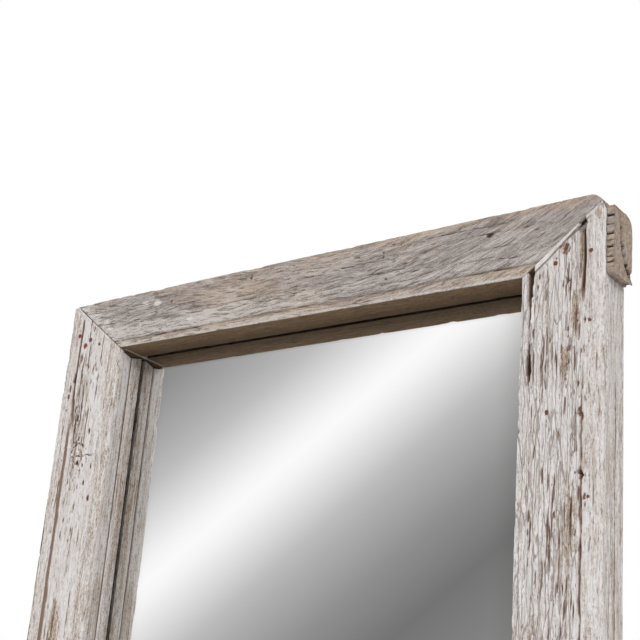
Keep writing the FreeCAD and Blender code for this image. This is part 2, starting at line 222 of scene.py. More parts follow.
# Timber grids
class Timber:
    """Grid of points round a timber's outline and along its length, with what wear does to each point and the
    painted shade some points carry.
    """

    def __init__(self, outline, stations, starts, ends, zone, seed):
        self.seed = seed
        self.rng = np.random.default_rng(seed)
        self.count = len(outline)
        self.rows = len(stations)
        normals = outward(outline)
        steps = np.linalg.norm(np.roll(outline, -1, 0) - outline, axis=1)
        self.girth = steps.sum()
        shape = (self.rows, self.count)
        self.round = np.broadcast_to(np.concatenate([[0.0], np.cumsum(steps)[:-1]]), shape)
        self.across = np.broadcast_to(outline[:, 0], shape).copy()
        self.depth = np.broadcast_to(outline[:, 1], shape).copy()
        self.out = np.broadcast_to(normals, (*shape, 2))
        self.lip = outline[:, 1] < LIP
        low, high = stations[0] + zone, stations[-1] - zone
        nominal = np.broadcast_to(stations[:, None], shape)
        first = low - (low - nominal) * (low - starts) / zone
        last = high + (nominal - high) * (ends - high) / zone
        self.along = np.where(nominal < low, first, np.where(nominal > high, last, nominal))
        self.sunk, self.bare, self.dark, self.rust, self.crazed = np.zeros((5, *shape))
        self.front = smooth(0.5, 0.9, -self.out[:, :, 1])
        self.inner = smooth(0.5, 0.9, self.out[:, :, 0])
        self.outer = smooth(0.5, 0.9, -self.out[:, :, 0])
        self.back = smooth(0.5, 0.9, self.out[:, :, 1])

    def window(self, near, start, end):
        """Part of the grid between two distances along it, in the columns where near holds."""
        rows = np.flatnonzero(((self.along > start) & (self.along < end)).any(1))
        return np.ix_(rows, np.flatnonzero(near))

    def grain(self, fine, long, seed, layers=2, part=...):
        """Noise drawn out along the timber."""
        across, depth, along = self.across[part], self.depth[part], self.along[part]
        return layered(across / fine, depth / fine, along / long, self.seed + seed, layers)

    def sink(self, amount, part=...):
        """Sinks points below the outline."""
        self.sunk[part] += amount

    def mark(self, layer, amount, part=...):
        """Raises a layer of marks to an amount where that is more."""
        layer[part] = np.maximum(layer[part], np.clip(amount, 0.0, 1.0))

    def weather(self, depth, arris):
        """Broad hollows, raised grain, flaked patches and chipped arrises."""
        self.sink(0.3 + 0.25 * self.grain(45.0, 260.0, 1))
        ridges = self.grain(2.2, 30.0, 2)
        self.sink(depth * np.maximum(0.0, ridges) ** 1.3)
        flakes = smooth(0.18, 0.4, self.grain(5.5, 26.0, 3, 3))
        self.sink(0.8 * depth * flakes)
        self.mark(self.bare, 0.3 * flakes)
        chips = smooth(0.15, 0.8, self.grain(30.0, 28.0, 4, 3))
        nicks = smooth(0.45, 0.8, self.grain(12.0, 7.0, 5, 2))
        self.sink(self.near_arris(3.0) * arris * (0.2 + chips + 0.7 * nicks))
        self.mark(self.bare, self.near_arris(4.0) * (0.2 + 0.5 * chips + 0.3 * nicks))

    def near_arris(self, reach):
        """1 on the rounded edges of the outline, falling to 0 over the reach."""
        turning = 1.0 - np.sum(self.out * np.roll(self.out, 3, 1), 2)
        edge = (turning[0] > 0.12).astype(float)
        places = self.round[0]
        gaps = np.abs(places[:, None] - places[None, edge > 0])
        gaps = np.minimum(gaps, self.girth - gaps).min(1)
        return np.exp(-(gaps / reach) ** 2)[None, :]

    def check(self, middle, start, end, width, depth, sway=0.8, shade=1.0, seed=0):
        """Split along the grain at a place round the outline."""
        part = self.window(np.abs(self.round[0] - middle) < 3.0 * width + 2.0 * sway, start, end)
        along = self.along[part]
        drift = sway * noise(along / 24.0, 0.5, seed * 3.1, self.seed + 60)
        drift = drift + 0.6 * sway * noise(along / 6.0, 0.5, seed * 5.7, self.seed + 61)
        apart = np.abs(self.round[part] - middle - drift)
        taper = smooth(start, start + 0.25 * (end - start), along)
        taper = taper * fall(end - 0.4 * (end - start), end, along)
        broken = 0.4 + 0.6 * smooth(-0.4, 0.2, noise(along / 9.0, 0.5, seed * 2.3, self.seed + 62))
        shape = np.exp(-(apart / width) ** 2) * taper * broken
        self.sink(depth * shape, part)
        self.mark(self.dark, shade * shape ** 0.8, part)

    def checks(self, count, low, high, start, end, lengths, widths, depths, shade=0.9):
        """Scattered splits between two places round the outline."""
        for index in range(count):
            middle = self.rng.uniform(low, high)
            length = self.rng.uniform(*lengths)
            begin = self.rng.uniform(start, end) - 0.5 * length
            width, depth = self.rng.uniform(*widths), self.rng.uniform(*depths)
            self.check(middle, begin, begin + length, width, depth, 0.9, shade, index + 1)

    def beside(self, across, reach):
        """Columns of the front within a reach of a place across the timber."""
        return (np.abs(self.across[0] - across) < reach) & (self.front[0] > 0.0)

    def pit(self, across, along, wide, long, depth, dark=1.0, rust=0.0, ragged=0.45):
        """Hollow on the front, ragged round its rim."""
        part = self.window(self.beside(across, 2.4 * wide), along - 2.4 * long, along + 2.4 * long)
        rim = ragged * self.grain(2.6, 3.4, 31, 2, part)
        away = np.hypot((self.across[part] - across) / wide, (self.along[part] - along) / long) + rim
        shape = fall(0.45, 1.0, away) * self.front[part]
        self.sink(depth * shape, part)
        self.mark(self.dark, dark * shape, part)
        self.mark(self.rust, rust * fall(0.6, 1.5, away) * self.front[part], part)

    def patch(self, layer, across, along, wide, long, amount):
        """Stain on the front with a soft, streaky rim."""
        part = self.window(self.beside(across, 1.7 * wide), along - 1.7 * long, along + 1.7 * long)
        away = np.hypot((self.across[part] - across) / wide, (self.along[part] - along) / long)
        away = away + 0.45 * self.grain(4.0, 26.0, 37, 3, part)
        self.mark(layer, amount * fall(0.3, 1.1, away) * self.front[part], part)

    def placed(self, place):
        """Points in metres in the part's frame."""
        sunk = np.maximum(self.sunk, 0.0)
        across = self.across - self.out[:, :, 0] * sunk
        depth = self.depth - self.out[:, :, 1] * sunk
        x, y, z = place(across, depth, self.along)
        return np.stack(np.broadcast_arrays(x, y, z), -1).reshape(-1, 3) * MM

    def faces(self):
        """Quads of the grid, the caps of its lip and body at both ends, and the steps between them."""
        faces = bands(self.rows, self.count)
        first = int(np.argmax(self.lip & ~np.roll(self.lip, 1)))
        split = int(self.lip.sum())
        for row in (0, self.rows - 1):
            ordered = [row * self.count + (first + k) % self.count for k in range(self.count)]
            lip, body = ordered[:split], ordered[split:]
            faces += [tuple(lip), tuple(body), (lip[-1], lip[0], body[-1], body[0])]
        return faces

    def marks(self):
        """The four layers of marks as one colour for each point."""
        layers = [self.bare, self.dark, self.rust, self.crazed]
        return np.stack([np.clip(layer, 0.0, 1.0) for layer in layers], -1).reshape(-1, 4)


def stations(length, step, extra=()):
    """Even places along a timber, with more where a feature has a sharp end."""
    places = np.linspace(0.0, length, int(round(length / step)) + 1)
    return np.unique(np.round(np.concatenate([places, np.array(extra, float)]), 2))


def frame_outline(width, fine, inner_round, lip_back, extra=()):
    """Outline of a frame timber: front, reveal, rebate, back and outer side."""
    side, hidden = 1.5 * fine, 3.5 * fine
    corners = [
        (0.0, 0.0, 3.0, fine), (width, 0.0, inner_round, side), (width, lip_back, 1.0, fine),
        (width - REBATE, lip_back, 0.3, hidden), (width - REBATE, THICK, 0.6, hidden),
        (0.0, THICK, 2.0, side),
    ]
    points = rounded_outline(corners)
    lip_line = [(0.0, LIP - 0.05), (0.0, LIP + 0.05), (width, LIP - 0.05), (width, LIP + 0.05)]
    more = np.array(lip_line + [(across, THICK) for across in extra])
    for point in more:
        following = np.roll(points, -1, 0)
        gaps = np.linalg.norm(following - points, axis=1)
        detour = np.linalg.norm(points - point, axis=1) + np.linalg.norm(following - point, axis=1)
        points = np.insert(points, int(np.argmin(detour - gaps)) + 1, point, 0)
    return points


def add_mesh(name, points, faces, finish, marks=None, smooth_faces=True):
    """New mesh object with a finish, and the wear and painted shade of its points where it has some."""
    mesh = bpy.data.meshes.new(name)
    mesh.from_pydata(np.asarray(points, float).tolist(), [], faces)
    if marks is not None:
        layer = mesh.attributes.new("marks", "FLOAT_COLOR", "POINT")
        layer.data.foreach_set("color", np.asarray(marks, np.float32).ravel())
    mesh.polygons.foreach_set("use_smooth", np.full(len(mesh.polygons), smooth_faces))
    mesh.materials.append(finish)
    mesh.update()
    body = bmesh.new()
    body.from_mesh(mesh)
    bmesh.ops.recalc_face_normals(body, faces=body.faces)
    body.to_mesh(mesh)
    body.free()
    piece = bpy.data.objects.new(name, mesh)
    bpy.context.scene.collection.objects.link(piece)
    return piece


def settle(piece, node, body="frame"):
    """The piece stands for a CAD node and moves with its body."""
    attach(piece, body)
    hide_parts(node)


# Finishes
class Flow:
    """A socket of a node tree. Arithmetic on values adds Math nodes."""

    def __init__(self, tree, socket):
        self.tree = tree
        self.socket = socket

    def math(self, operation, first, second):
        """Adds a Math node for two values."""
        made = self.tree.nodes.new("ShaderNodeMath")
        made.operation = operation
        for socket, value in zip(made.inputs, (first, second)):
            if isinstance(value, Flow):
                self.tree.links.new(value.socket, socket)
            else:
                socket.default_value = value
        return Flow(self.tree, made.outputs[0])

    def __add__(self, other):
        return self.math("ADD", self, other)

    __radd__ = __add__

    def __mul__(self, other):
        return self.math("MULTIPLY", self, other)

    __rmul__ = __mul__

    def __sub__(self, other):
        return self.math("SUBTRACT", self, other)

    def __rsub__(self, other):
        return self.math("SUBTRACT", other, self)

    def output(self, name):
        """Another output of the same node."""
        return Flow(self.tree, self.socket.node.outputs[name])


class Finish:
    """Node tree of a material or a world."""

    def __init__(self, owner):
        self.owner = owner
        owner.use_nodes = True
        self.tree = owner.node_tree
        self.tree.nodes.clear()

    def node(self, kind, settings, sockets, output=0):
        """Adds a node, sets it up, then fills or links its sockets."""
        made = self.tree.nodes.new(kind)
        for name, value in settings.items():
            if name == "stops":
                stops = made.color_ramp.elements
                while len(stops) < len(value):
                    stops.new(1.0)
                for stop, (place, colour) in zip(stops, value):
                    stop.position = place
                    stop.color = (*colour, 1.0)
            else:
                setattr(made, name, value)
        for name, value in sockets.items():
            if isinstance(value, Flow):
                self.tree.links.new(value.socket, made.inputs[name])
            else:
                made.inputs[name].default_value = value
        return Flow(self.tree, made.outputs[output]) if made.outputs else None

    def place(self, stretch=(1.0, 1.0, 1.0)):
        """Place in the part's frame, drawn out along one axis."""
        spot = self.node("ShaderNodeTexCoord", {}, {}, "Object")
        return self.node("ShaderNodeVectorMath", {"operation": "MULTIPLY"}, {0: spot, 1: stretch})

    def swayed(self, stretch, scale, amount, spot=None):
        """Place that wanders from side to side before it is drawn out."""
        spot = spot or self.node("ShaderNodeTexCoord", {}, {}, "Object")
        sway = self.node("ShaderNodeTexNoise", {}, {"Vector": spot, "Scale": scale, "Detail": 2.0}, "Color")
        sockets = {0: sway, 1: (amount, amount, amount), 2: spot}
        moved = self.node("ShaderNodeVectorMath", {"operation": "MULTIPLY_ADD"}, sockets)
        return self.node("ShaderNodeVectorMath", {"operation": "MULTIPLY"}, {0: moved, 1: stretch})

    def cloud(self, place, scale, detail=3.0, rough=0.55):
        """Noise from about 0 to 1."""
        sockets = {"Vector": place, "Scale": scale, "Detail": detail, "Roughness": rough}
        return self.node("ShaderNodeTexNoise", {}, sockets)

    def crazed(self, place, scale, width):
        """1 on the borders of a net of cells, 0 inside them."""
        sockets = {"Vector": place, "Scale": scale}
        border = self.node("ShaderNodeTexVoronoi", {"feature": "DISTANCE_TO_EDGE"}, sockets)
        return 1.0 - self.ease(border, 0.2 * width, width)

    def ease(self, value, low, high):
        """Rises smoothly from 0 at low to 1 at high."""
        return self.node("ShaderNodeMapRange", {"interpolation_type": "SMOOTHSTEP"},
                         {"Value": value, "From Min": low, "From Max": high})

    def blend(self, factor, first, second, mode="MIX"):
        """Mixes two colours."""
        colours = [part if isinstance(part, Flow) else (*part, 1.0) for part in (first, second)]
        return self.node("ShaderNodeMix", {"data_type": "RGBA", "blend_type": mode},
                         {0: factor, 6: colours[0], 7: colours[1]}, 2)

    def surface(self, bump=None, bump_depth=0.0, **sockets):
        """Principled surface with an optional bump, linked to the output."""
        if bump is not None:
            relief = {"Height": bump, "Strength": 1.0, "Distance": bump_depth}
            sockets["Normal"] = self.node("ShaderNodeBump", {}, relief)
        named = {name.replace("_", " "): value for name, value in sockets.items()}
        colour = named.get("Base Color")
        if isinstance(colour, tuple):
            named["Base Color"] = (*colour, 1.0)
        shader = self.node("ShaderNodeBsdfPrincipled", {}, named)
        self.node("ShaderNodeOutputMaterial", {}, {"Surface": shader})
        return self.owner


def new_finish(name):
    """Node tree of a new material."""
    return Finish(bpy.data.materials.new(name))


def drawn_out(axis, share):
    """Scale that draws a pattern out along the grain."""
    return tuple(share if k == axis else 1.0 for k in range(3))


def ramp(finish, value, *stops):
    """Colours along a value."""
    settings = {"stops": [(place, tuple(colour)) for place, colour in stops]}
    return finish.node("ShaderNodeValToRGB", settings, {"Fac": value})


def wear_and_shade_marks(finish):
    """What the grid says of each place: bare timber, dark split, rust or chalk, and crazing; the first three
    also carry painted shade and a painted highlight.
    """
    marks = finish.node("ShaderNodeAttribute", {"attribute_name": "marks"}, {}, "Color")
    bare = finish.node("ShaderNodeSeparateColor", {}, {0: marks}, "Red")
    return bare, bare.output("Green"), bare.output("Blue"), marks.output("Alpha")


def washed_timber(name, axis, look):
    """Old timber under a worn whitewash, crazed and checked along the grain, with brown pits and rust."""
    finish = new_finish(name)
    bare, dark, rust, crazed = wear_and_shade_marks(finish)
    fibre = finish.cloud(finish.swayed(drawn_out(axis, 0.09), 30.0, 0.004), 820.0, 4.0, 0.65)
    streak = finish.cloud(finish.swayed(drawn_out(axis, 0.07), 20.0, 0.005), 230.0, 3.0, 0.6)
    grit = finish.cloud(finish.place(drawn_out(axis, 0.5)), 620.0, 3.0, 0.7)
    band = finish.cloud(finish.place(drawn_out(axis, 0.14)), 80.0, 3.0)
    tone = 0.30 * fibre + 0.24 * streak + 0.25 * grit + 0.21 * band
    wash = ramp(finish, tone, (0.38, look.wash_grey), (0.46, look.wash_warm), (0.54, look.wash))
    fine = 0.6 * fibre + 0.4 * grit
    timber = ramp(finish, fine, (0.34, look.bare_dark), (0.5, look.bare), (0.64, look.bare_grey))
    worn = 0.95 - bare + 1.0 * (streak - 0.5) + 0.9 * (fibre - 0.5) + 0.7 * (grit - 0.5)
    cover = finish.ease(worn, 0.2, 0.75)
    colour = finish.blend(cover, timber, wash)
    flakes = finish.cloud(finish.swayed(drawn_out(axis, 0.22), 45.0, 0.004), 190.0, 4.0, 0.6)
    flakes = finish.ease(flakes, 0.5, 0.55) * crazed
    colour = finish.blend(0.4 * flakes, colour, look.wash_warm)
    net = finish.crazed(finish.swayed(drawn_out(axis, 0.06), 45.0, 0.0035), 185.0, 0.06)
    net = net * finish.ease(streak + 0.3 * crazed, 0.55, 0.8) * crazed
    dashes = finish.cloud(finish.swayed(drawn_out(axis, 0.17), 60.0, 0.004), 640.0, 2.0)
    dashes = finish.ease(dashes, 0.64, 0.7) * finish.ease(band + 0.3 * crazed, 0.42, 0.66)
    colour = finish.blend(0.6 * net, colour, look.check)
    colour = finish.blend(0.65 * dashes, colour, look.check)
    specks = finish.cloud(finish.swayed(drawn_out(axis, 0.4), 60.0, 0.004), 560.0, 3.0, 0.7)
    specks = finish.ease(specks, 0.56, 0.63) * finish.ease(bare + 0.6 * (band - 0.5), 0.22, 0.6)
    colour = finish.blend(0.75 * specks, colour, look.pit)
    colour = finish.blend(0.9 * finish.ease(dark + 0.5 * (grit - 0.5), 0.1, 0.55), colour, look.pit)
    colour = finish.blend(0.9 * finish.ease(dark + 0.3 * (grit - 0.5), 0.6, 0.95), colour, look.crack)
    colour = finish.blend(finish.ease(rust + 0.8 * (grit - 0.5), 0.35, 0.75), colour, look.rust)
    height = 0.6 * fibre + 0.5 * streak + 0.5 * grit - 0.5 * net - 0.6 * dashes - 0.6 * flakes - 0.6 * specks
    rough = 0.75 + 0.2 * cover
    return finish.surface(height, 0.0009, Base_Color=colour, Roughness=rough, Specular_IOR_Level=0.2)


def rising_grain(finish):
    """Place for the head's grain, which rises towards its right end."""
    spot = finish.node("ShaderNodeTexCoord", {}, {}, "Object")
    x = finish.node("ShaderNodeSeparateXYZ", {}, {0: spot}, "X")
    past = x.math("MAXIMUM", x - 0.05, 0.0)
    sockets = {"X": x, "Y": x.output("Y"), "Z": x.output("Z") - 1.0 * past * past}
    return finish.node("ShaderNodeCombineXYZ", {}, sockets)


def grey_timber(name, axis, look):
    """Bare timber weathered grey and brown, with a curly grain, open pores and traces of whitewash."""
    finish = new_finish(name)
    bare, dark, pale, _ = wear_and_shade_marks(finish)
    spot = rising_grain(finish)
    fibre = finish.cloud(finish.swayed(drawn_out(axis, 0.06), 11.0, 0.02, spot), 850.0, 4.0, 0.65)
    streak = finish.cloud(finish.swayed(drawn_out(axis, 0.05), 9.0, 0.026, spot), 250.0, 4.0, 0.6)
    grit = finish.cloud(finish.place(), 640.0, 3.0, 0.7)
    broad = finish.cloud(finish.place(drawn_out(axis, 0.4)), 24.0, 3.0)
    tone = 0.42 * fibre + 0.33 * streak + 0.25 * grit
    grey = ramp(finish, tone, (0.38, look.head_dark), (0.49, look.head), (0.6, look.head_pale))
    brown = ramp(finish, tone, (0.38, look.bare_dark), (0.49, look.head_brown), (0.61, look.head_tan))
    brownness = finish.ease(bare + 1.0 * (broad - 0.5) + 0.5 * (streak - 0.5), 0.2, 0.8)
    colour = finish.blend(brownness, grey, brown)
    colour = finish.blend(finish.ease(bare, 0.93, 0.99), colour, look.soffit, "MULTIPLY")
    chalk = finish.ease(pale + 0.7 * (streak - 0.5) + 0.7 * (fibre - 0.5) + 0.8 * (grit - 0.5), 0.3, 0.8)
    colour = finish.blend(0.8 * chalk, colour, look.head_chalk)
    colour = finish.blend(0.75 * finish.ease(pale + 0.9 * (grit - 0.5), 0.8, 0.98), colour, look.wash)
    flecks = finish.cloud(finish.swayed(drawn_out(axis, 0.35), 13.0, 0.022, spot), 640.0, 2.0)
    flecks = finish.ease(flecks, 0.64, 0.7)
    colour = finish.blend(0.5 * flecks, colour, look.head_chalk)
    pores = finish.cloud(finish.swayed(drawn_out(axis, 0.045), 11.0, 0.02, spot), 700.0, 2.0)
    pores = finish.ease(pores, 0.6, 0.67)
    colour = finish.blend(0.6 * pores, colour, look.check)
    colour = finish.blend(0.94 * finish.ease(dark + 0.4 * (grit - 0.5), 0.08, 0.85), colour, look.crack)
    height = 0.5 * fibre + 0.5 * streak + 0.4 * grit - 0.9 * pores + 0.3 * flecks
    rough = 0.72 + 0.2 * fibre
    return finish.surface(height, 0.0009, Base_Color=colour, Roughness=rough, Specular_IOR_Level=0.2)


def silvered(name, look):
    """Silvered glass with a faint haze, and painted shade beside the frame: the silver is darker there, which
    darkens the frame's reflection.
    """
    finish = new_finish(name)
    haze = finish.cloud(finish.place(), 9.0, 4.0)
    x = finish.node("ShaderNodeSeparateXYZ", {}, {0: finish.place()}, "X")
    z = x.output("Z")
    aside = finish.node("ShaderNodeMath", {"operation": "ABSOLUTE"}, {0: x})
    from_side = (HALF - STILE) * MM - aside + 0.004 * (haze - 0.5)
    from_top = (TOP - HEAD) * MM - z
    from_bottom = z - (TOP - LENGTH + BOTTOM) * MM
    from_end = z.math("MINIMUM", from_top, from_bottom)
    # Painted shade: darker silver within about 50 mm of the stiles and 21 mm of the rails.
    unshaded = finish.ease(from_side, 0.012, 0.05) * finish.ease(from_end, 0.016, 0.021)
    colour = finish.blend(unshaded, look.silver_shaded, look.silver)
    return finish.surface(Base_Color=colour, Metallic=1.0, Roughness=0.008 + 0.014 * haze)


def hardboard(name, look):
    """Brown hardboard with a fine pressed fleck."""
    finish = new_finish(name)
    fleck = finish.cloud(finish.place((1.0, 1.0, 0.4)), 700.0, 5.0, 0.7)
    broad = finish.cloud(finish.place(), 6.0, 3.0)
    colour = finish.blend(finish.ease(fleck, 0.35, 0.7), look.board_dark, look.board)
    colour = finish.blend(0.4 * broad, colour, look.board_dark)
    return finish.surface(fleck, 0.0003, Base_Color=colour, Roughness=0.55 + 0.25 * fleck)


def plain_metal(name, colour, shade, rough):
    """Metal with fine brushing and dull spots."""
    finish = new_finish(name)
    brushed = finish.cloud(finish.place((1.0, 1.0, 0.1)), 1800.0, 3.0)
    spots = finish.ease(finish.cloud(finish.place(), 260.0, 4.0), 0.5, 0.72)
    tone = finish.blend(0.65 * spots, colour, shade)
    gloss = rough + 0.2 * spots + 0.15 * (brushed - 0.5)
    return finish.surface(brushed, 0.00006, Base_Color=tone, Metallic=1.0, Roughness=gloss)


def rusted_iron(name, look):
    """Rust in two tones, pitted."""
    finish = new_finish(name)
    grit = finish.cloud(finish.place(), 1500.0, 5.0, 0.7)
    colour = finish.blend(finish.ease(grit, 0.35, 0.65), look.rust_dark, look.rust)
    return finish.surface(grit, 0.0005, Base_Color=colour, Roughness=0.8 + 0.15 * grit)


def rubber(name, look):
    """Matt black rubber with a fine grain."""
    finish = new_finish(name)
    grit = finish.cloud(finish.place(), 1600.0, 4.0)
    colour = finish.blend(grit, look.rubber, look.rubber_pale)
    return finish.surface(grit, 0.0002, Base_Color=colour, Roughness=0.75 + 0.2 * grit)


# Settings
def colour_setting(name, description, default):
    """Setting for one colour."""
    return FloatVectorProperty(
        name=name, description=description, default=default, subtype="COLOR", size=3, min=0.0, max=1.0)


class MirrorTimberSettings(bpy.types.PropertyGroup):
    """Sizes and colours of the timbers"""
    step_across: FloatProperty(
        name="Step Across", description="Distance between points across the grain, in millimetres",
        default=1.0, min=0.5, max=6.0)
    step_along: FloatProperty(
        name="Step Along", description="Distance between points along the grain, in millimetres",
        default=4.0, min=1.0, max=20.0)
    grain_depth: FloatProperty(
        name="Grain Depth", description="Depth of the raised grain, in millimetres", default=0.6, min=0.0)
    arris_wear: FloatProperty(
        name="Arris Wear", description="Depth of the chips on the arrises, in millimetres",
        default=1.2, min=0.0)
    seed: IntProperty(name="Seed", description="Start of the scattered splits", default=5, min=0)
    wash: colour_setting("Whitewash", "Chalky whitewash", (0.668, 0.641, 0.634))
    wash_warm: colour_setting("Warm Whitewash", "Whitewash over warm timber", (0.56, 0.52, 0.498))
    wash_grey: colour_setting("Thin Whitewash", "Whitewash worn thin", (0.40, 0.355, 0.335))
    bare: colour_setting("Bare Timber", "Timber where the wash is gone", (0.40, 0.31, 0.235))
    bare_dark: colour_setting("Dark Timber", "Dark grain of bare timber", (0.19, 0.135, 0.10))
    bare_grey: colour_setting("Pale Timber", "Weathered grain of bare timber", (0.50, 0.43, 0.37))
    check: colour_setting("Checks", "Fine checks along the grain", (0.17, 0.12, 0.092))
    # Pits and Splits also colour the painted shade in the dark layer: under the head, in the rebates, in the
    # slot, at the ridge's foot and on the tongues.
    pit: colour_setting("Pits", "Brown of the pits and worm holes", (0.16, 0.092, 0.062))
    crack: colour_setting("Splits", "Bottom of the splits", (0.036, 0.021, 0.012))
    rust: colour_setting("Rust", "Rust round the nails", (0.25, 0.10, 0.055))
    head: colour_setting("Head", "Weathered timber of the head", (0.30, 0.262, 0.243))
    head_dark: colour_setting("Head Dark", "Dark grain of the head", (0.15, 0.125, 0.112))
    head_pale: colour_setting("Head Pale", "Pale grain of the head", (0.49, 0.45, 0.425))
    head_brown: colour_setting("Head Brown", "Brown timber of the head", (0.37, 0.29, 0.225))
    head_tan: colour_setting("Head Tan", "Pale brown timber of the head", (0.50, 0.41, 0.335))
    soffit: colour_setting("Soffit", "Tint of the head's underside", (0.84, 0.70, 0.51))
    head_chalk: colour_setting("Head Chalk", "Traces of whitewash on the head", (0.53, 0.495, 0.462))


class MirrorFittingSettings(bpy.types.PropertyGroup):
    """Colours of the glass and the fittings"""
    silver: colour_setting("Silver", "Silvered glass", (0.95, 0.955, 0.95))
    # Dull Silver is painted shade on the glass beside the frame.
    silver_shaded: colour_setting("Dull Silver", "Silvered glass beside the frame", (0.80, 0.80, 0.785))
    board: colour_setting("Board", "Hardboard", (0.30, 0.19, 0.11))
    board_dark: colour_setting("Board Fleck", "Dark fleck of the hardboard", (0.16, 0.095, 0.055))
    steel: colour_setting("Steel", "Zinc-plated steel", (0.62, 0.62, 0.60))
    steel_dull: colour_setting("Dull Steel", "Dull spots of the plating", (0.38, 0.38, 0.38))
    brass: colour_setting("Brass", "Brass of the turn buttons", (0.72, 0.55, 0.26))
    brass_dull: colour_setting("Dull Brass", "Tarnish on the brass", (0.36, 0.25, 0.12))
    rubber: colour_setting("Rubber", "Rubber of the pads", (0.025, 0.025, 0.025))
    rubber_pale: colour_setting("Rubber Dust", "Dusty rubber", (0.06, 0.06, 0.06))
    rust: colour_setting("Rust", "Rusted nails", (0.20, 0.08, 0.048))
    rust_dark: colour_setting("Dark Rust", "Deep rust of the nails", (0.09, 0.035, 0.02))
    mirror_place: FloatProperty(
        name="Silver Place", description="Depth of the silvering below the front, in millimetres",
        default=42.9, min=39.0, max=43.0)


class MirrorStageSettings(bpy.types.PropertyGroup):
    """Camera and light"""
    lens: FloatProperty(name="Lens", description="Focal length", default=78.37, min=10.0, unit="CAMERA")
    camera: FloatVectorProperty(
        name="Camera", description="Place of the camera", default=(0.8792, -1.1896, -0.5792),
        subtype="TRANSLATION", unit="LENGTH", size=3)
    sky: FloatProperty(name="Sky", description="Strength of the soft light from above", default=0.66, min=0.0)
    ground: FloatProperty(
        name="Ground", description="Strength of the soft light from below", default=0.12, min=0.0)
    key: FloatProperty(name="Key", description="Strength of the key light", default=2.2, min=0.0)
    key_width: FloatProperty(
        name="Key Width", description="How wide the key light is, seen from the mirror",
        default=math.radians(32.0), min=0.0, subtype="ANGLE")
    floor: colour_setting("Floor", "Pale floor", (0.80, 0.80, 0.79))


# Pieces
class MIRROR_OT_left_stile(bpy.types.Operator):
    """Build the left stile"""
    bl_idname = "mirror.left_stile"
    bl_label = "Left Stile"

    def execute(self, context):
        look = context.scene.mirror_timber
        timber, sides = stile_grid(look, look.seed + 100, left_tip, 5.0)
        along = timber.along
        timber.weather(0.8 * look.grain_depth, look.arris_wear)
        self.groove(timber)
        self.cross_cut(timber)
        for hollow in LEFT_HOLLOWS:
            timber.pit(*hollow)
        timber.mark(timber.crazed, 0.4 * timber.front + 0.5 * timber.outer)
        timber.patch(timber.crazed, 35.0, 170.0, 16.0, 150.0, 1.0)
        timber.patch(timber.bare, 33.0, 160.0, 11.0, 120.0, 0.5)
        on_bead = fall(16.0, 20.0, timber.across)
        worn = 0.15 + 0.26 * smooth(62.0, 76.0, timber.across) + 0.19 * on_bead
        timber.mark(timber.bare, timber.front * worn)
        timber.patch(timber.bare, 40.0, 420.0, 16.0, 90.0, 0.6)
        step_out = smooth(215.0, 245.0, along) * fall(2.5, 5.0, timber.across) * timber.front
        timber.mark(timber.bare, 0.7 * step_out)
        timber.checks(46, 24.0, 60.0, 60.0, 1120.0, (15.0, 60.0), (0.5, 0.8), (0.6, 1.5))
        timber.checks(20, 2.0, 86.0, 20.0, 1150.0, (30.0, 110.0), (0.5, 0.8), (0.5, 1.4))
        scattered_pits(timber, 60, 22.0, 50.0, 60.0, 300.0)
        scattered_pits(timber, 90, 10.0, 64.0, 60.0, 1120.0)
        side_checks(timber, sides)
        reveal_finish(timber)
        ragged_back(timber, 3.0)
        nail_stains(timber, LEFT_NAIL_MARKS)
        finish = washed_timber("whitewashed_upright", 2, look)
        points = timber.placed(left_place)
        piece = add_mesh("left_stile_timber", points, timber.faces(), finish, timber.marks())
        settle(piece, "left_stile")
        return {"FINISHED"}

    def groove(self, timber):
        """Groove that sets off the outer bead: a thin line at the top, rotted wide below."""
        along = timber.along
        widen = smooth(105.0, 190.0, along)
        middle = 20.2 + 4.3 * widen + 0.7 * wander(along, 40.0, 11)
        half = 1.7 + 3.2 * widen + 0.9 * widen * noise(along / 18.0, 0.5, 3.5, 12)
        apart = timber.across - middle
        on_groove = timber.front * fall(1085.0, 1105.0, along) * smooth(18.0, 26.0, along)
        groove = fall(0.55, 1.15, np.abs(apart) / half) * on_groove
        timber.sink((2.8 + 1.2 * widen) * groove)
        timber.mark(timber.dark, groove * (1.0 - 0.97 * widen))
        timber.mark(timber.bare, (0.25 - 0.2 * widen) * groove)
        rim = fall(0.8, 1.8, np.abs(apart + half))
        timber.mark(timber.dark, 0.6 * rim * widen * on_groove)

    def cross_cut(self, timber):
        """Short crack across the grain with a cluster of pits round it."""
        across, along = timber.across, timber.along
        sway = 1.6 * wander(across, 7.0, 13) + 0.8 * wander(across, 2.6, 14)
        crack = fall(0.3, 1.25, np.abs(along - 198.0 - sway))
        crack = crack * smooth(27.0, 34.0, across) * fall(64.0, 74.0, across) * timber.front
        timber.sink(1.6 * crack)
        timber.mark(timber.dark, crack * (0.35 + 0.4 * smooth(-0.1, 0.3, wander(across, 4.0, 18))))
        for _ in range(46):
            middle = 38.0 + 9.0 * timber.rng.standard_normal()
            down = 196.0 + 13.0 * timber.rng.standard_normal()
            wide, long = timber.rng.uniform(0.6, 1.3), timber.rng.uniform(0.9, 2.4)
            depth, dark = timber.rng.uniform(0.5, 1.2), timber.rng.uniform(0.4, 0.8)
            timber.pit(middle, down, wide, long, depth, dark, 0.0, 0.25)


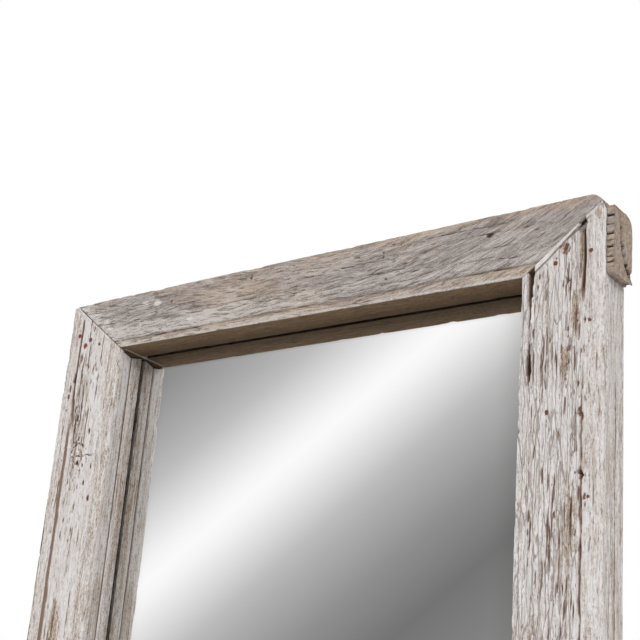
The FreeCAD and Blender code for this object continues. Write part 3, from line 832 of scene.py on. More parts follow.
class MIRROR_OT_right_stile(bpy.types.Operator):
    """Build the right stile"""
    bl_idname = "mirror.right_stile"
    bl_label = "Right Stile"

    def execute(self, context):
        look = context.scene.mirror_timber
        timber, sides = stile_grid(look, look.seed + 200, right_tip, 1.8)
        timber.weather(1.5 * look.grain_depth, 0.8 * look.arris_wear)
        field = smooth(20.0, 30.0, timber.across) * timber.front
        timber.mark(timber.bare, 0.35 * field * smooth(-0.1, 0.5, timber.grain(7.0, 32.0, 81, 3)))
        timber.mark(timber.crazed, 0.4 * timber.front + 0.6 * field + 0.1 * timber.outer)
        on_bead = fall(18.0, 22.0, timber.across)
        timber.mark(timber.bare, timber.front * (0.14 + 0.16 * on_bead) + 0.34 * timber.outer)
        timber.checks(110, 26.0, 78.0, 60.0, 1130.0, (14.0, 70.0), (0.5, 0.85), (0.7, 2.0))
        timber.checks(22, 4.0, 20.0, 60.0, 1150.0, (20.0, 80.0), (0.5, 0.8), (0.5, 1.2), 0.6)
        scattered_pits(timber, 90, 26.0, 80.0, 60.0, 1120.0)
        scattered_pits(timber, 26, 12.0, 34.0, 90.0, 360.0)
        for hollow in RIGHT_HOLLOWS:
            timber.pit(*hollow, 0.8, 0.45, 0.7)
        for patch in RIGHT_PATCHES:
            timber.patch(timber.bare, *patch)
        timber.check(24.5, 74.0, 1110.0, 1.1, 3.0, 1.6, 1.0, 41)
        tip = fall(8.0, 24.0, timber.along)
        timber.sunk = timber.sunk * (1.0 - 0.75 * tip) + 0.3 * tip
        self.ridge(timber)
        self.slot(timber)
        self.split(timber)
        side_checks(timber, sides)
        timber.check(sides["outer"] + 15.0, 70.0, 700.0, 1.0, 2.5, 1.5, 1.0, 43)
        reveal_finish(timber)
        ragged_back(timber, 1.6)
        nail_stains(timber, RIGHT_NAIL_MARKS)
        for across, along, wide, long in RIGHT_RUST:
            timber.pit(across, along, 0.9 * wide, 0.9 * long, 1.0, 0.6, 0.6, 0.6)
        finish = bpy.data.materials["whitewashed_upright"]
        points = timber.placed(right_place)
        piece = add_mesh("right_stile_timber", points, timber.faces(), finish, timber.marks())
        settle(piece, "right_stile")
        return {"FINISHED"}

    def ridge(self, timber):
        """Pale raised strip along the mitre, narrower towards the tip, with the field sunk below it and a
        line of painted shade at the foot of its step.
        """
        across = timber.across
        from_mitre = (timber.along - right_mitre(across)) * math.cos(math.atan(RIGHT_SLOPE))
        width = 2.6 + 2.6 * smooth(24.0, 74.0, across) + 0.5 * wander(across, 6.0, 15)
        upper = smooth(12.0, 20.0, across) * fall(74.0, 79.0, across) * timber.front
        beyond = smooth(-0.4, 0.8, from_mitre - width)
        strip = (1.0 - beyond) * upper
        timber.sunk = timber.sunk * (1.0 - 0.85 * strip)
        timber.bare = timber.bare * (1.0 - 0.8 * strip)
        timber.dark = timber.dark * (1.0 - 0.9 * strip)
        timber.crazed = timber.crazed * (1.0 - strip)
        fade = fall(60.0, 220.0, timber.along)
        timber.sink(1.5 * beyond * upper * fade)
        # Painted shade: a dark line at the foot of the strip's step.
        line = fall(0.3, 1.3, np.abs(from_mitre - width - 0.6)) * upper
        timber.mark(timber.dark, 0.4 * line)

    def slot(self, timber):
        """Round-topped slot, brown inside, with painted shade along its outer wall and under its top, that
        ends in a split.
        """
        across, along = timber.across, timber.along
        sway = 0.7 * wander(along, 14.0, 16)
        apart = across - 24.4 - sway
        top = np.hypot(apart, np.minimum(along - 15.6, 0.0))
        inside = fall(2.9, 4.0, top) * timber.front
        fade = fall(58.0, 96.0, along)
        slot = inside * fade
        timber.sink(5.0 * slot)
        timber.mark(timber.bare, 0.9 * slot)
        timber.dark = timber.dark * (1.0 - 0.6 * slot)
        # Painted shade along the slot's outer wall.
        timber.mark(timber.dark, inside * fall(-0.6, 1.6, apart) * fall(80.0, 110.0, along))
        # Painted shade under the slot's round top.
        timber.mark(timber.dark, 0.95 * slot * fall(13.5, 19.0, along))
        timber.mark(timber.dark, 0.5 * slot * smooth(0.1, 0.6, timber.grain(2.4, 14.0, 84)))
        timber.mark(timber.rust, 0.5 * slot * smooth(16.0, 20.0, along) * fall(24.0, 36.0, along))

    def split(self, timber):
        """Split beside the inner edge: a wedge below the mitre, then a crack that opens once more."""
        along = timber.along
        wedge = 3.3 * fall(48.0, 128.0, along)
        opened = 2.4 * smooth(132.0, 160.0, along) * fall(164.0, 182.0, along)
        half = 0.55 + wedge + opened
        middle = STILE - 10.0 + 1.4 * wander(along, 26.0, 19) + 0.7 * wander(along, 7.0, 20)
        split = fall(0.7, 1.1, np.abs(timber.across - middle) / half) * timber.front
        split = split * fall(178.0, 192.0, along)
        timber.sink(7.0 * split)
        timber.mark(timber.dark, split)


# Marks of the stiles: across from the outer edge and down from the upper left corner,
# then half sizes and, in the longer rows, a depth or an amount
LEFT_HOLLOWS = [
    (17.6, 98.0, 1.8, 8.0, 3.4), (13.0, 110.0, 2.0, 7.0, 3.0), (12.0, 121.0, 1.4, 5.0, 2.0),
    (53.6, 90.0, 1.2, 4.0, 2.0), (68.5, 250.5, 2.2, 4.0, 2.2), (58.0, 232.0, 1.6, 4.0, 1.6),
    (66.0, 212.0, 1.6, 5.0, 1.8), (40.0, 176.0, 2.0, 5.0, 1.8), (33.0, 150.0, 1.6, 5.0, 1.6),
    (34.0, 22.0, 2.2, 1.8, 0.9), (41.0, 36.0, 1.2, 4.0, 1.0), (56.0, 168.0, 1.8, 5.0, 1.6),
    (36.0, 184.0, 2.0, 3.0, 1.8), (48.0, 186.0, 1.8, 3.0, 1.6), (42.0, 206.0, 2.2, 4.0, 1.8),
    (52.0, 210.0, 1.8, 4.0, 1.6),
]
LEFT_NAIL_MARKS = [(16.5, 42.5, 2.8), (36.7, 49.3, 3.0), (29.4, 56.2, 3.6), (52.6, 57.4, 2.2)]
RIGHT_HOLLOWS = [
    (22.4, 271.0, 3.4, 4.6, 5.0), (19.0, 292.0, 1.6, 3.6, 2.4), (59.0, 208.0, 2.0, 4.0, 2.0),
    (25.0, 211.0, 1.5, 5.0, 2.4), (53.0, 51.0, 1.4, 1.4, 1.8), (39.5, 77.0, 1.8, 3.6, 2.2),
    (21.0, 120.0, 1.2, 2.6, 2.0), (41.0, 38.0, 2.4, 3.0, 1.8), (39.0, 45.0, 1.4, 2.2, 1.6),
]
RIGHT_PATCHES = [
    (42.0, 42.0, 8.0, 9.0, 0.8), (40.0, 163.0, 8.0, 32.0, 0.9), (30.0, 110.0, 7.0, 40.0, 0.7),
    (62.0, 100.0, 5.0, 40.0, 0.5), (7.0, 12.0, 4.0, 14.0, 0.7), (32.0, 320.0, 9.0, 60.0, 0.7),
    (56.0, 560.0, 10.0, 70.0, 0.7), (36.0, 860.0, 9.0, 80.0, 0.7),
]
RIGHT_RUST = [
    (40.5, 37.5, 1.6, 2.2), (47.5, 40.0, 1.2, 1.6), (38.0, 43.5, 1.4, 2.4), (45.0, 46.0, 1.6, 1.4),
    (36.0, 38.0, 1.0, 1.4), (41.5, 48.0, 1.2, 2.0), (14.5, 121.0, 1.0, 1.6), (58.0, 210.0, 1.4, 2.4),
    (24.0, 273.0, 2.0, 3.0), (22.5, 214.0, 1.4, 3.0), (24.5, 196.0, 1.2, 3.6), (38.5, 128.0, 1.6, 5.0),
    (36.5, 146.0, 1.4, 4.0), (24.0, 150.0, 1.2, 4.0),
]
RIGHT_NAIL_MARKS = [(53.4, 56.1, 2.2), (42.4, 42.1, 2.4), (15.4, 49.1, 2.2)]


def left_place(across, depth, along):
    """Point of the left stile."""
    return across - HALF, depth + FRONT, TOP - along


def right_place(across, depth, along):
    """Point of the right stile."""
    return HALF - across, depth + FRONT, TOP - along


def left_tip(across):
    """Top of the left stile's lip: the mitre, worn flat at the outer corner."""
    return np.maximum(left_mitre(across) + JOINT_GAP, 3.2)


def right_tip(across):
    """Top of the right stile's lip: the mitre, then the worn corner."""
    return np.maximum(right_mitre(across) + JOINT_GAP, 0.8 - top_line(WIDTH - across))


def stile_grid(look, seed, tip, inner_round):
    """Grid of a stile, and where its reveal and outer side begin round the outline."""
    left_edge, right_edge, upper, lower, depth = POCKET
    extra = (left_edge, left_edge + 0.3, right_edge - 0.3, right_edge)
    outline = frame_outline(STILE, look.step_across, inner_round, REVEAL_BACK, extra)
    across, in_depth = outline[:, 0], outline[:, 1]
    is_lip = in_depth < LIP
    starts = np.where(is_lip, tip(across), housed_top(across, in_depth))
    ends = np.where(is_lip, LENGTH - across * BOTTOM / STILE, LENGTH - BOTTOM) - JOINT_GAP
    finer = np.arange(0.0, 330.0, 0.34 * look.step_along)
    along = stations(LENGTH, look.step_along, (*finer, upper, upper + 0.3, lower - 0.3, lower))
    timber = Timber(outline, along, starts, ends, 110.0, seed)
    inside = (timber.across > left_edge + 0.15) & (timber.across < right_edge - 0.15)
    inside &= (timber.along > upper + 0.15) & (timber.along < lower - 0.15) & (timber.depth > THICK - 0.5)
    timber.pocket = inside * depth
    places = timber.round[0]
    sides = {
        "reveal": places[np.argmin(np.hypot(across - STILE, in_depth - 5.0))],
        "outer": places[np.argmin(np.hypot(across, in_depth - 43.0))],
    }
    return timber, sides


def scattered_pits(timber, count, low, high, start, end):
    """Small brown pits with bare timber round them."""
    for _ in range(count):
        across = timber.rng.uniform(low, high)
        along = timber.rng.uniform(start, end)
        wide, long = timber.rng.uniform(0.6, 1.3), timber.rng.uniform(1.4, 6.0)
        timber.pit(across, along, wide, long, timber.rng.uniform(0.5, 1.4), timber.rng.uniform(0.3, 0.75))
        timber.patch(timber.bare, across, along, 1.6 * wide, 2.0 * long, 0.55)


def nail_stains(timber, places):
    """Rusty hollows round the nails."""
    for across, along, size in places:
        timber.pit(across, along, size, size, 0.8, 0.55, 1.0)


def side_checks(timber, sides):
    """Splits of the reveal and the outer side."""
    reveal, outer = sides["reveal"], sides["outer"]
    timber.checks(8, reveal, reveal + 34.0, 70.0, 1110.0, (40.0, 140.0), (0.5, 0.8), (0.3, 0.6), 0.4)
    timber.checks(20, outer, outer + 40.0, 80.0, 1110.0, (30.0, 160.0), (0.5, 0.8), (0.4, 1.2), 0.5)


def reveal_finish(timber):
    """Smoother, evenly tan reveal with a scratched line along it, and painted shade that makes it a little
    more bare towards the glass.
    """
    calm = 0.75 * timber.inner * smooth(3.0, 9.0, timber.depth)
    timber.sunk = timber.sunk * (1.0 - calm) + 0.4 * calm
    timber.bare = timber.bare * (1.0 - calm)
    sway = 0.5 * wander(timber.along, 60.0, timber.seed + 73)
    line = fall(0.5, 1.5, np.abs(timber.depth - 23.0 - sway)) * timber.inner
    timber.sink(1.4 * line)
    timber.mark(timber.dark, 0.75 * line)
    # Bare timber tone, plus painted shade that rises by 0.1 towards the glass.
    bare_and_shade = 0.36 + 0.1 * smooth(23.0, 38.0, timber.depth)
    timber.mark(timber.bare, timber.inner * (bare_and_shade + 0.12 * timber.grain(8.0, 120.0, 83)))


def ragged_back(timber, deepest, is_lit=True, lip_back=REVEAL_BACK):
    """Broken back edge of the reveal, painted shade in the rebate (only deep inside it if lit), and the
    hanger's pocket.
    """
    bite = smooth(0.1, 0.3, wander(timber.along, 21.0, timber.seed + 71))
    bite = 0.2 + bite + 0.4 * wander(timber.along, 5.0, timber.seed + 72)
    near = smooth(lip_back - 2.4, lip_back - 0.6, timber.depth) * timber.inner
    timber.sink(deepest * np.maximum(bite, 0.0) * near)
    widest = timber.across.max()
    rebate = (timber.depth > lip_back - 0.6) & (timber.across > widest - REBATE - 0.3)
    inmost = fall(widest - 7.6, widest - 5.6, timber.across) if is_lit else 1.0
    # Painted shade in the rebate behind the reveal.
    timber.mark(timber.dark, rebate * 0.9 * inmost)
    timber.mark(timber.bare, 0.4 * rebate)
    if hasattr(timber, "pocket"):
        calm = np.where(timber.back > 0.5, 0.25 * timber.sunk, timber.sunk)
        timber.sunk = np.where(timber.pocket > 0, timber.pocket, calm)


class MIRROR_OT_head_rail(bpy.types.Operator):
    """Build the head rail with its housed ends and horn"""
    bl_idname = "mirror.head_rail"
    bl_label = "Head Rail"

    def execute(self, context):
        look = context.scene.mirror_timber
        outline = frame_outline(HEAD, look.step_across, 2.6, REVEAL_BACK)
        across, depth = outline[:, 0], outline[:, 1]
        is_lip = depth < LIP
        starts = np.where(is_lip, LEFT_INSET + across * (STILE - LEFT_INSET) / HEAD + JOINT_GAP, STILE)
        ends = np.where(is_lip, right_end(across) - JOINT_GAP, WIDTH - STILE)
        along = stations(WIDTH, 0.5 * look.step_along)
        timber = Timber(outline, along, starts, ends, 105.0, look.seed + 300)
        timber.weather(0.6 * look.grain_depth, look.arris_wear)
        bead = 58.5 - 4.0 * timber.along / WIDTH
        sway = 0.9 * wander(timber.along, 17.0, 94) + 0.5 * wander(timber.along, 5.0, 95)
        line = fall(0.4, 1.4, np.abs(timber.across - bead - sway)) * timber.front
        timber.sink(1.3 * line)
        timber.mark(timber.dark, line * (0.3 + 0.35 * smooth(-0.2, 0.4, wander(timber.along, 40.0, 96))))
        timber.checks(40, 4.0, 56.0, 60.0, 690.0, (14.0, 60.0), (0.5, 0.75), (0.3, 1.0), 0.7)
        for index, (place, start, end) in enumerate(HEAD_CRACKS):
            timber.check(place, start, end, 0.55, 1.2, 1.6, 0.8, 51 + index)
        scattered_pits(timber, 16, 4.0, 54.0, 40.0, 690.0)
        for hollow in HEAD_HOLLOWS:
            timber.pit(*hollow, 0.9, 0.0)
        self.tones(timber, bead)
        # The head's rebate counts as unlit, so all of it gets painted shade.
        ragged_back(timber, 0.5, False)
        finish = grey_timber("grey_rail", 0, look)
        pieces = [(timber.placed(head_place), timber.faces(), timber.marks())]
        pieces += self.housed_ends(look.seed + 350)
        piece = joined("head_rail_timber", pieces, finish)
        settle(piece, "head_rail")
        return {"FINISHED"}

    def tones(self, timber, bead):
        """Brown top edge, chalky lower field, tan bead with a painted highlight along its lower arris, and a
        soffit darkened by painted shade.
        """
        across, along = timber.across, timber.along
        drift = 5.0 * wander(along, 70.0, 91) + 2.5 * noise(along / 21.0, across / 12.0, 0.5, 92)
        brown = fall(2.0, 17.0, across + drift) * timber.front
        timber.mark(timber.bare, 0.55 * brown + 0.6 * timber.outer)
        timber.mark(timber.rust, 0.3 * brown)
        left_part = smooth(60.0, 200.0, along) * fall(300.0, 560.0, along)
        timber.mark(timber.bare, 0.5 * timber.front * left_part)
        field = smooth(30.0, 42.0, across + drift) * timber.front * fall(-2.0, 0.5, across - bead)
        timber.mark(timber.rust, field * (0.66 - 0.22 * smooth(220.0, 480.0, along)))
        near_mitre = along - LEFT_INSET - across * (STILE - LEFT_INSET) / HEAD
        flaked = 0.35 + 0.5 * smooth(-0.1, 0.25, timber.grain(6.0, 14.0, 93, 3))
        timber.mark(timber.rust, flaked * timber.front * fall(10.0, 40.0, near_mitre + 2.0 * drift))
        timber.mark(timber.bare, 0.62 * timber.front * smooth(-1.0, 1.0, across - bead))
        timber.mark(timber.rust, 0.5 * timber.front * smooth(1.0, 4.0, across - bead))
        # Painted highlight: a pale chalky line along the lower arris of the bead.
        timber.mark(timber.rust, 0.85 * timber.front * smooth(62.0, 65.0, across + 0.3 * drift))
        for patch in HEAD_CHALK:
            timber.patch(timber.rust, *patch)
        timber.mark(timber.bare, timber.inner)
        # Painted shade on the soffit: dark 0.44, rising to 0.6 towards the glass.
        timber.mark(timber.dark, timber.inner * (0.44 + 0.16 * smooth(6.0, 36.0, timber.depth)))

    def housed_ends(self, seed):
        """Ends of the rail behind the stiles, the lugs below them, and the horn past the right stile."""
        beam = block_outline(LIP, 0.2, HEAD, 1.0, 2.0, 2.5)
        lug = block_outline(LIP + 0.2, 60.0, SHOULDER, 1.0, 1.0, 3.0)
        tongue = rounded_outline([(depth, down - JOINT_GAP, 0.3, 2.0) for depth, down in TONGUE])
        horn = block_outline(HORN_FRONT, HORN_DROP, SHOULDER, 2.0, 13.0, 0.6)
        far = WIDTH - STILE
        return [
            end_block(beam, STILE + 3.0, 0.3, seed, head_place, 26),
            end_block(beam, far - 3.0, WIDTH - JOINT_GAP, seed + 1, head_place, 40),
            end_block(lug, LUG_END - JOINT_GAP, 0.3, seed + 2, plain_place, 12),
            end_block(lug, WIDTH - LUG_END + JOINT_GAP, WIDTH - JOINT_GAP, seed + 3, plain_place, 12),
            # The tongues get painted shade of 0.62 in their dark layer, like the soffit.
            end_block(tongue, LUG_END - 2.0, STILE - 0.2, seed + 5, plain_place, 8, 1.2, False, 0.62),
            end_block(tongue, WIDTH - LUG_END + 2.0, far + 0.2, seed + 6, plain_place, 8, 1.2, False, 0.62),
            end_block(horn, WIDTH + JOINT_GAP, WIDTH + HORN - 0.2, seed + 4, plain_place, 12, 0.75, True),
            end_block(lug, WIDTH - 6.0, WIDTH + 2.0, seed + 7, plain_place, 6),
        ]


# Longer cracks of the head: down from its top edge, and their two ends along it
HEAD_CRACKS = [
    (35.0, 120.0, 232.0), (27.0, 150.0, 250.0), (13.0, 210.0, 330.0), (44.0, 250.0, 360.0),
    (24.0, 380.0, 500.0), (38.0, 430.0, 520.0), (12.0, 500.0, 640.0), (20.0, 560.0, 650.0),
    (47.0, 600.0, 640.0), (18.0, 90.0, 150.0),
]
# Hollows of the head: down from its top edge and along from its left end, half sizes, depth
HEAD_HOLLOWS = [
    (19.4, 163.8, 1.6, 2.0, 1.2), (9.0, 284.0, 1.4, 1.8, 1.0), (14.9, 463.8, 1.5, 1.8, 1.0),
    (20.0, 593.0, 3.0, 7.0, 1.4),
]
# Chalky patches of the head: down from its top edge and along from its left end, half sizes, amount
HEAD_CHALK = [
    (22.0, 66.0, 6.0, 16.0, 0.65), (16.0, 122.0, 4.0, 7.0, 1.0), (19.0, 142.0, 5.0, 9.0, 0.95),
    (40.0, 120.0, 6.0, 20.0, 0.6), (47.0, 196.0, 5.0, 14.0, 0.95), (9.0, 130.0, 4.0, 14.0, 0.5),
    (52.0, 100.0, 4.0, 14.0, 0.65), (30.0, 60.0, 5.0, 8.0, 0.95), (40.0, 68.0, 4.0, 8.0, 0.9),
]
# Rot in the end of the horn: depth from the front, distance down and half width
HORN_ROT = [
    (19.0, 13.0, 2.0), (22.5, 24.0, 3.6), (24.5, 36.0, 3.8), (27.0, 46.0, 4.4), (32.0, 54.0, 5.0),
    (37.0, 62.0, 4.0), (47.0, 66.0, 3.4),
]
# Cracks across the front of the horn: distance down, half width, reach to the back, share of the full depth
HORN_CRACKS = [
    (9.0, 0.4, 3.4, 0.4), (15.5, 1.1, 7.0, 1.0), (19.5, 0.4, 3.2, 0.5), (24.0, 0.7, 4.6, 0.7),
    (30.5, 0.5, 3.4, 0.6), (34.0, 0.9, 5.4, 0.9), (41.0, 0.6, 4.0, 0.8), (44.0, 0.4, 3.2, 0.5),
    (49.5, 1.0, 6.0, 1.0), (53.5, 0.5, 3.6, 0.6), (58.5, 0.7, 4.6, 0.8), (63.0, 0.9, 6.4, 0.7),
    (69.0, 0.4, 3.4, 0.5),
]
# Outline of the rail's end between the stile's reveal and the soffit: depth from the front, distance down
TONGUE = [(LIP + 0.2, 60.0), (THICK, 60.0), (THICK, 68.3), (41.5, 68.3), (20.8, 73.2), (LIP + 0.2, 69.7)]


def block_outline(front, top, bottom, front_round, back_round, step):
    """Outline of a square block from a depth to the back, with rounded edges."""
    return rounded_outline([
        (front, top, front_round, step), (THICK, top, back_round, step), (THICK, bottom, 2.0, step),
        (front, bottom, front_round, step)])


def right_end(across):
    """Distance from the left end to the right mitre, at a distance from the head's top edge."""
    along = np.full_like(across, 690.0)
    for _ in range(60):
        reached = WIDTH - STILE + (HEAD - across) * (HEAD + top_line(along)) / HEAD / RIGHT_SLOPE
        along = 0.75 * along + 0.25 * reached
    return along


def head_place(across, depth, along):
    """Point of the head rail, whose top edge rises to the right."""
    return along - HALF, depth + FRONT, TOP - HEAD + (HEAD - across) * (HEAD + top_line(along)) / HEAD


def bottom_place(across, depth, along):
    """Point of the bottom rail."""
    return along - HALF, depth + FRONT, TOP - LENGTH + across


def plain_place(down, depth, along):
    """Point of a square block at the end of the head rail."""
    return along - HALF, depth + FRONT, TOP - down


def end_block(outline, x0, x1, seed, place, steps, bare=0.3, is_horn=False, shaded=0.0):
    """End of a rail: walls along the grain, then rings that close the end grain, with an amount of painted
    shade (shaded) over it all.
    """
    rings = [(1.0, x) for x in np.linspace(x0, x1, steps)]
    rings += [(scale, x1) for scale in np.linspace(0.98, 0.04, 36 if is_horn else 8)]
    centre = outline.mean(0)
    normals = outward(outline)
    way = 1.0 if x1 > x0 else -1.0
    points, marks = [], []
    for scale, x in rings:
        spots = centre + (outline - centre) * scale
        depth, down = spots[:, 0], spots[:, 1]
        at_end = float(abs(x - x1) < 0.01)
        wear = 0.5 + 0.5 * layered(depth / 5.0, down / 7.0, x / 60.0, seed, 3)
        rot, hollow, cracks = horn_wear(depth, down, seed) if is_horn else np.zeros((3, len(down)))
        back = at_end * ((1.4 if is_horn else 0.6) * wear + 2.0 * cracks + 3.8 * rot + 1.2 * hollow)
        sunk = ((0.9 if is_horn else 0.35) * wear + 2.6 * cracks + 2.0 * rot) * (scale == 1.0)
        if is_horn:
            broken = 1.2 * wear + 1.4 * smooth(59.0, 63.0, down)
            sunk = sunk + broken * smooth(30.0, 44.0, depth) * (scale == 1.0)
        moved = spots - normals * sunk[:, None]
        px, py, pz = place(moved[:, 1], moved[:, 0], np.full(len(spots), x))
        points.append(np.stack([px - way * back, py, pz], 1))
        flecked = smooth(-0.1, 0.5, layered(depth / 2.2, down / 3.4, 0.5, seed + 14, 3))
        rotten = rot * (0.35 + 0.55 * flecked) + 0.4 * hollow * flecked
        # shaded is painted shade, given to the tongues under the soffit.
        dark = np.clip(shaded + 0.9 * cracks + rotten, 0.0, 1.0)
        shade = bare + 0.45 * layered(depth / 2.6, down / 15.0, 0.5, seed + 13, 3)
        shade = shade + 0.4 * is_horn * fall(4.0, 9.0, down)
        marks.append(np.stack([shade, dark, np.full(len(spots), 0.22 * is_horn), 0.0 * dark], 1))
    faces = bands(len(rings), len(outline)) + caps(len(rings), len(outline))[::-1]
    return np.concatenate(points) * MM, faces, np.concatenate(marks)


def horn_wear(depth, down, seed):
    """Rot in the horn's end, the ragged hollow round it, and cracks across the front."""
    rot, hollow = np.zeros((2, len(depth)))
    ragged = 1.6 * layered(depth / 6.0, down / 8.0, 0.5, seed + 9, 3)
    for (depth0, down0, half0), (depth1, down1, half1) in zip(HORN_ROT, HORN_ROT[1:]):
        run, drop = depth1 - depth0, down1 - down0
        part = np.clip(((depth - depth0) * run + (down - down0) * drop) / (run * run + drop * drop), 0.0, 1.0)
        apart = np.hypot(depth - depth0 - run * part, down - down0 - drop * part)
        half = half0 + (half1 - half0) * part
        rot = np.maximum(rot, fall(0.8, 1.05, (apart + 0.6 * ragged) / half))
        hollow = np.maximum(hollow, fall(1.2, 1.6, (apart + 1.4 * ragged) / half))
    cracks = np.zeros(len(depth))
    for index, (place, half, reach, amount) in enumerate(HORN_CRACKS):
        bend = 4.5 * noise(depth / 4.0, 1.7 * index + 0.5, 0.5, seed + 11)
        bend = bend + 1.2 * noise(depth / 1.6, index + 0.5, 0.5, seed + 12)
        crack = amount * fall(0.4 * half, 1.5 * half, np.abs(down - place - bend))
        cracks = np.maximum(cracks, crack * fall(reach - 3.0, reach + 1.0, depth))
    return rot, hollow, cracks


def joined(name, pieces, finish):
    """One object from several meshes."""
    points, faces = gathered([piece[:2] for piece in pieces])
    return add_mesh(name, points, faces, finish, np.concatenate([piece[2] for piece in pieces]))


class MIRROR_OT_bottom_rail(bpy.types.Operator):
    """Build the bottom rail"""
    bl_idname = "mirror.bottom_rail"
    bl_label = "Bottom Rail"

    def execute(self, context):
        look = context.scene.mirror_timber
        outline = frame_outline(BOTTOM, look.step_across, 3.5, REBATE_DEPTH)
        across, depth = outline[:, 0], outline[:, 1]
        is_lip = depth < LIP
        mitre = across * STILE / BOTTOM + JOINT_GAP
        starts = np.where(is_lip, mitre, JOINT_GAP)
        ends = np.where(is_lip, WIDTH - mitre, WIDTH - JOINT_GAP)
        stop = STILE - REBATE
        places = stations(WIDTH, look.step_along, (stop, stop + 0.3, WIDTH - stop - 0.3, WIDTH - stop))
        timber = Timber(outline, places, starts, ends, 105.0, look.seed + 400)
        timber.weather(look.grain_depth, look.arris_wear)
        line = fall(0.4, 1.4, np.abs(timber.across - 68.0)) * timber.front
        timber.sink(1.3 * line)
        timber.mark(timber.dark, 0.7 * line)
        timber.checks(50, 4.0, 64.0, 40.0, 690.0, (40.0, 200.0), (0.5, 1.0), (0.5, 1.6))
        timber.checks(12, 100.0, 240.0, 40.0, 690.0, (60.0, 200.0), (0.5, 1.0), (0.5, 1.4))
        ragged_back(timber, 0.5, True, REBATE_DEPTH)
        self.stopped_rebate(timber, places, stop + 0.1)
        finish = washed_timber("whitewashed_rail", 0, look)
        points = timber.placed(bottom_place)
        piece = add_mesh("bottom_rail_timber", points, timber.faces(), finish, timber.marks())
        settle(piece, "bottom_rail")
        return {"FINISHED"}

    def stopped_rebate(self, timber, places, stop):
        """Full height of the rail past both ends of its rebate, under the stiles."""
        past = (places < stop) | (places > WIDTH - stop)
        inside = (timber.depth[0] > REBATE_DEPTH - 0.1) & (timber.across[0] > BOTTOM - REBATE - 0.3)
        part = np.ix_(past, inside)
        timber.across[part] = BOTTOM - 0.8 + 0.04 * (timber.across[part] - BOTTOM + REBATE)
        timber.sunk[part] = 0.0
        timber.dark[part] = 0.0
        timber.bare[part] = 0.25


class MIRROR_OT_glass(bpy.types.Operator):
    """Build the silvered glass and dress the backing board and the setting blocks"""
    bl_idname = "mirror.glass"
    bl_label = "Glass And Backing"

    def execute(self, context):
        look = context.scene.mirror_fittings
        low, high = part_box("mirror_glass")
        front = (FRONT + look.mirror_place) * MM
        pane = bmesh.new()
        bmesh.ops.create_cube(pane, size=1.0)
        size = Vector((high.x - low.x, high.y - front, high.z - low.z))
        middle = Vector(((low.x + high.x) / 2, (front + high.y) / 2, (low.z + high.z) / 2))
        placed = Matrix.Translation(middle) @ Matrix.Diagonal((*size, 1.0))
        bmesh.ops.transform(pane, matrix=placed, verts=pane.verts)
        mesh = bpy.data.meshes.new("mirror_glass_pane")
        pane.to_mesh(mesh)
        pane.free()
        mesh.materials.append(silvered("silvered_glass", look))
        piece = bpy.data.objects.new("mirror_glass_pane", mesh)
        context.scene.collection.objects.link(piece)
        settle(piece, "mirror_glass")
        dress("backing_board", hardboard("brown_hardboard", look))
        dress("setting_blocks", rubber("black_rubber", look))
        return {"FINISHED"}


def dress(node, finish):
    """Gives a CAD node a finish."""
    slots = frame["nodes"][node].data.materials
    slots.clear()
    slots.append(finish)


def lathe(profile, centre, axis, turns=24):
    """Points and faces of a round form about an axis, from (radius, height) pairs."""
    axis = Vector(axis).normalized()
    side = axis.orthogonal().normalized()
    up = axis.cross(side)
    points = []
    for radius, height in profile:
        for turn in range(turns):
            angle = 2.0 * math.pi * turn / turns
            way = side * math.cos(angle) + up * math.sin(angle)
            points.append(tuple(Vector(centre) + axis * height + way * radius))
    return np.array(points), bands(len(profile), turns) + caps(len(profile), turns)


def gathered(parts):
    """Points and faces of several forms in one list."""
    points, faces, base = [], [], 0
    for part_points, part_faces in parts:
        points.append(part_points)
        faces += [tuple(v + base for v in face) for face in part_faces]
        base += len(part_points)
    return np.concatenate(points), faces


def surface_depth(x, z):
    """Depth of the worn front below the frame's front plane at a place, in metres."""
    best = 0.0006
    for name in ("left_stile_timber", "right_stile_timber", "head_rail_timber", "bottom_rail_timber"):
        mesh = bpy.data.objects[name].data
        points = np.empty(len(mesh.vertices) * 3, np.float32)
        mesh.vertices.foreach_get("co", points)
        points = points.reshape(-1, 3)
        near = (np.hypot(points[:, 0] - x, points[:, 2] - z) < 0.004) & (points[:, 1] < (FRONT + 6.0) * MM)
        if near.any():
            best = float(np.median(points[near, 1])) - FRONT * MM
    return best


class MIRROR_OT_nails(bpy.types.Operator):
    """Build the rusted nails with their heads in the worn front"""
    bl_idname = "mirror.nails"
    bl_label = "Nails"

    def execute(self, context):
        finish = rusted_iron("rusted_iron", context.scene.mirror_fittings)
        for node in ("corner_nails", "old_nails"):
            parts = []
            for x, z, back in nail_places(node):
                sunk = FRONT * MM + surface_depth(x, z)
                top, rim, shank = sunk - 0.0001, 0.0024, 0.0013
                profile = [
                    (0.0002, top), (0.5 * rim, top + 0.00005), (0.85 * rim, top + 0.0002),
                    (rim, top + 0.0005), (0.95 * rim, top + 0.0009), (shank, top + 0.0012),
                    (shank, back - 0.003), (0.0003, back),
                ]
                points, faces = lathe(profile, (x, 0.0, z), (0, 1, 0), 20)
                wobble = 0.0006 * layered(points[:, 0] * 900, points[:, 1] * 300, points[:, 2] * 900, 77, 2)
                points[:, 0] += wobble
                points[:, 2] += 0.7 * np.roll(wobble, 5)
                parts.append((points, faces))
            points, faces = gathered(parts)
            piece = add_mesh(node + "_iron", points, faces, finish)
            settle(piece, node)
        return {"FINISHED"}


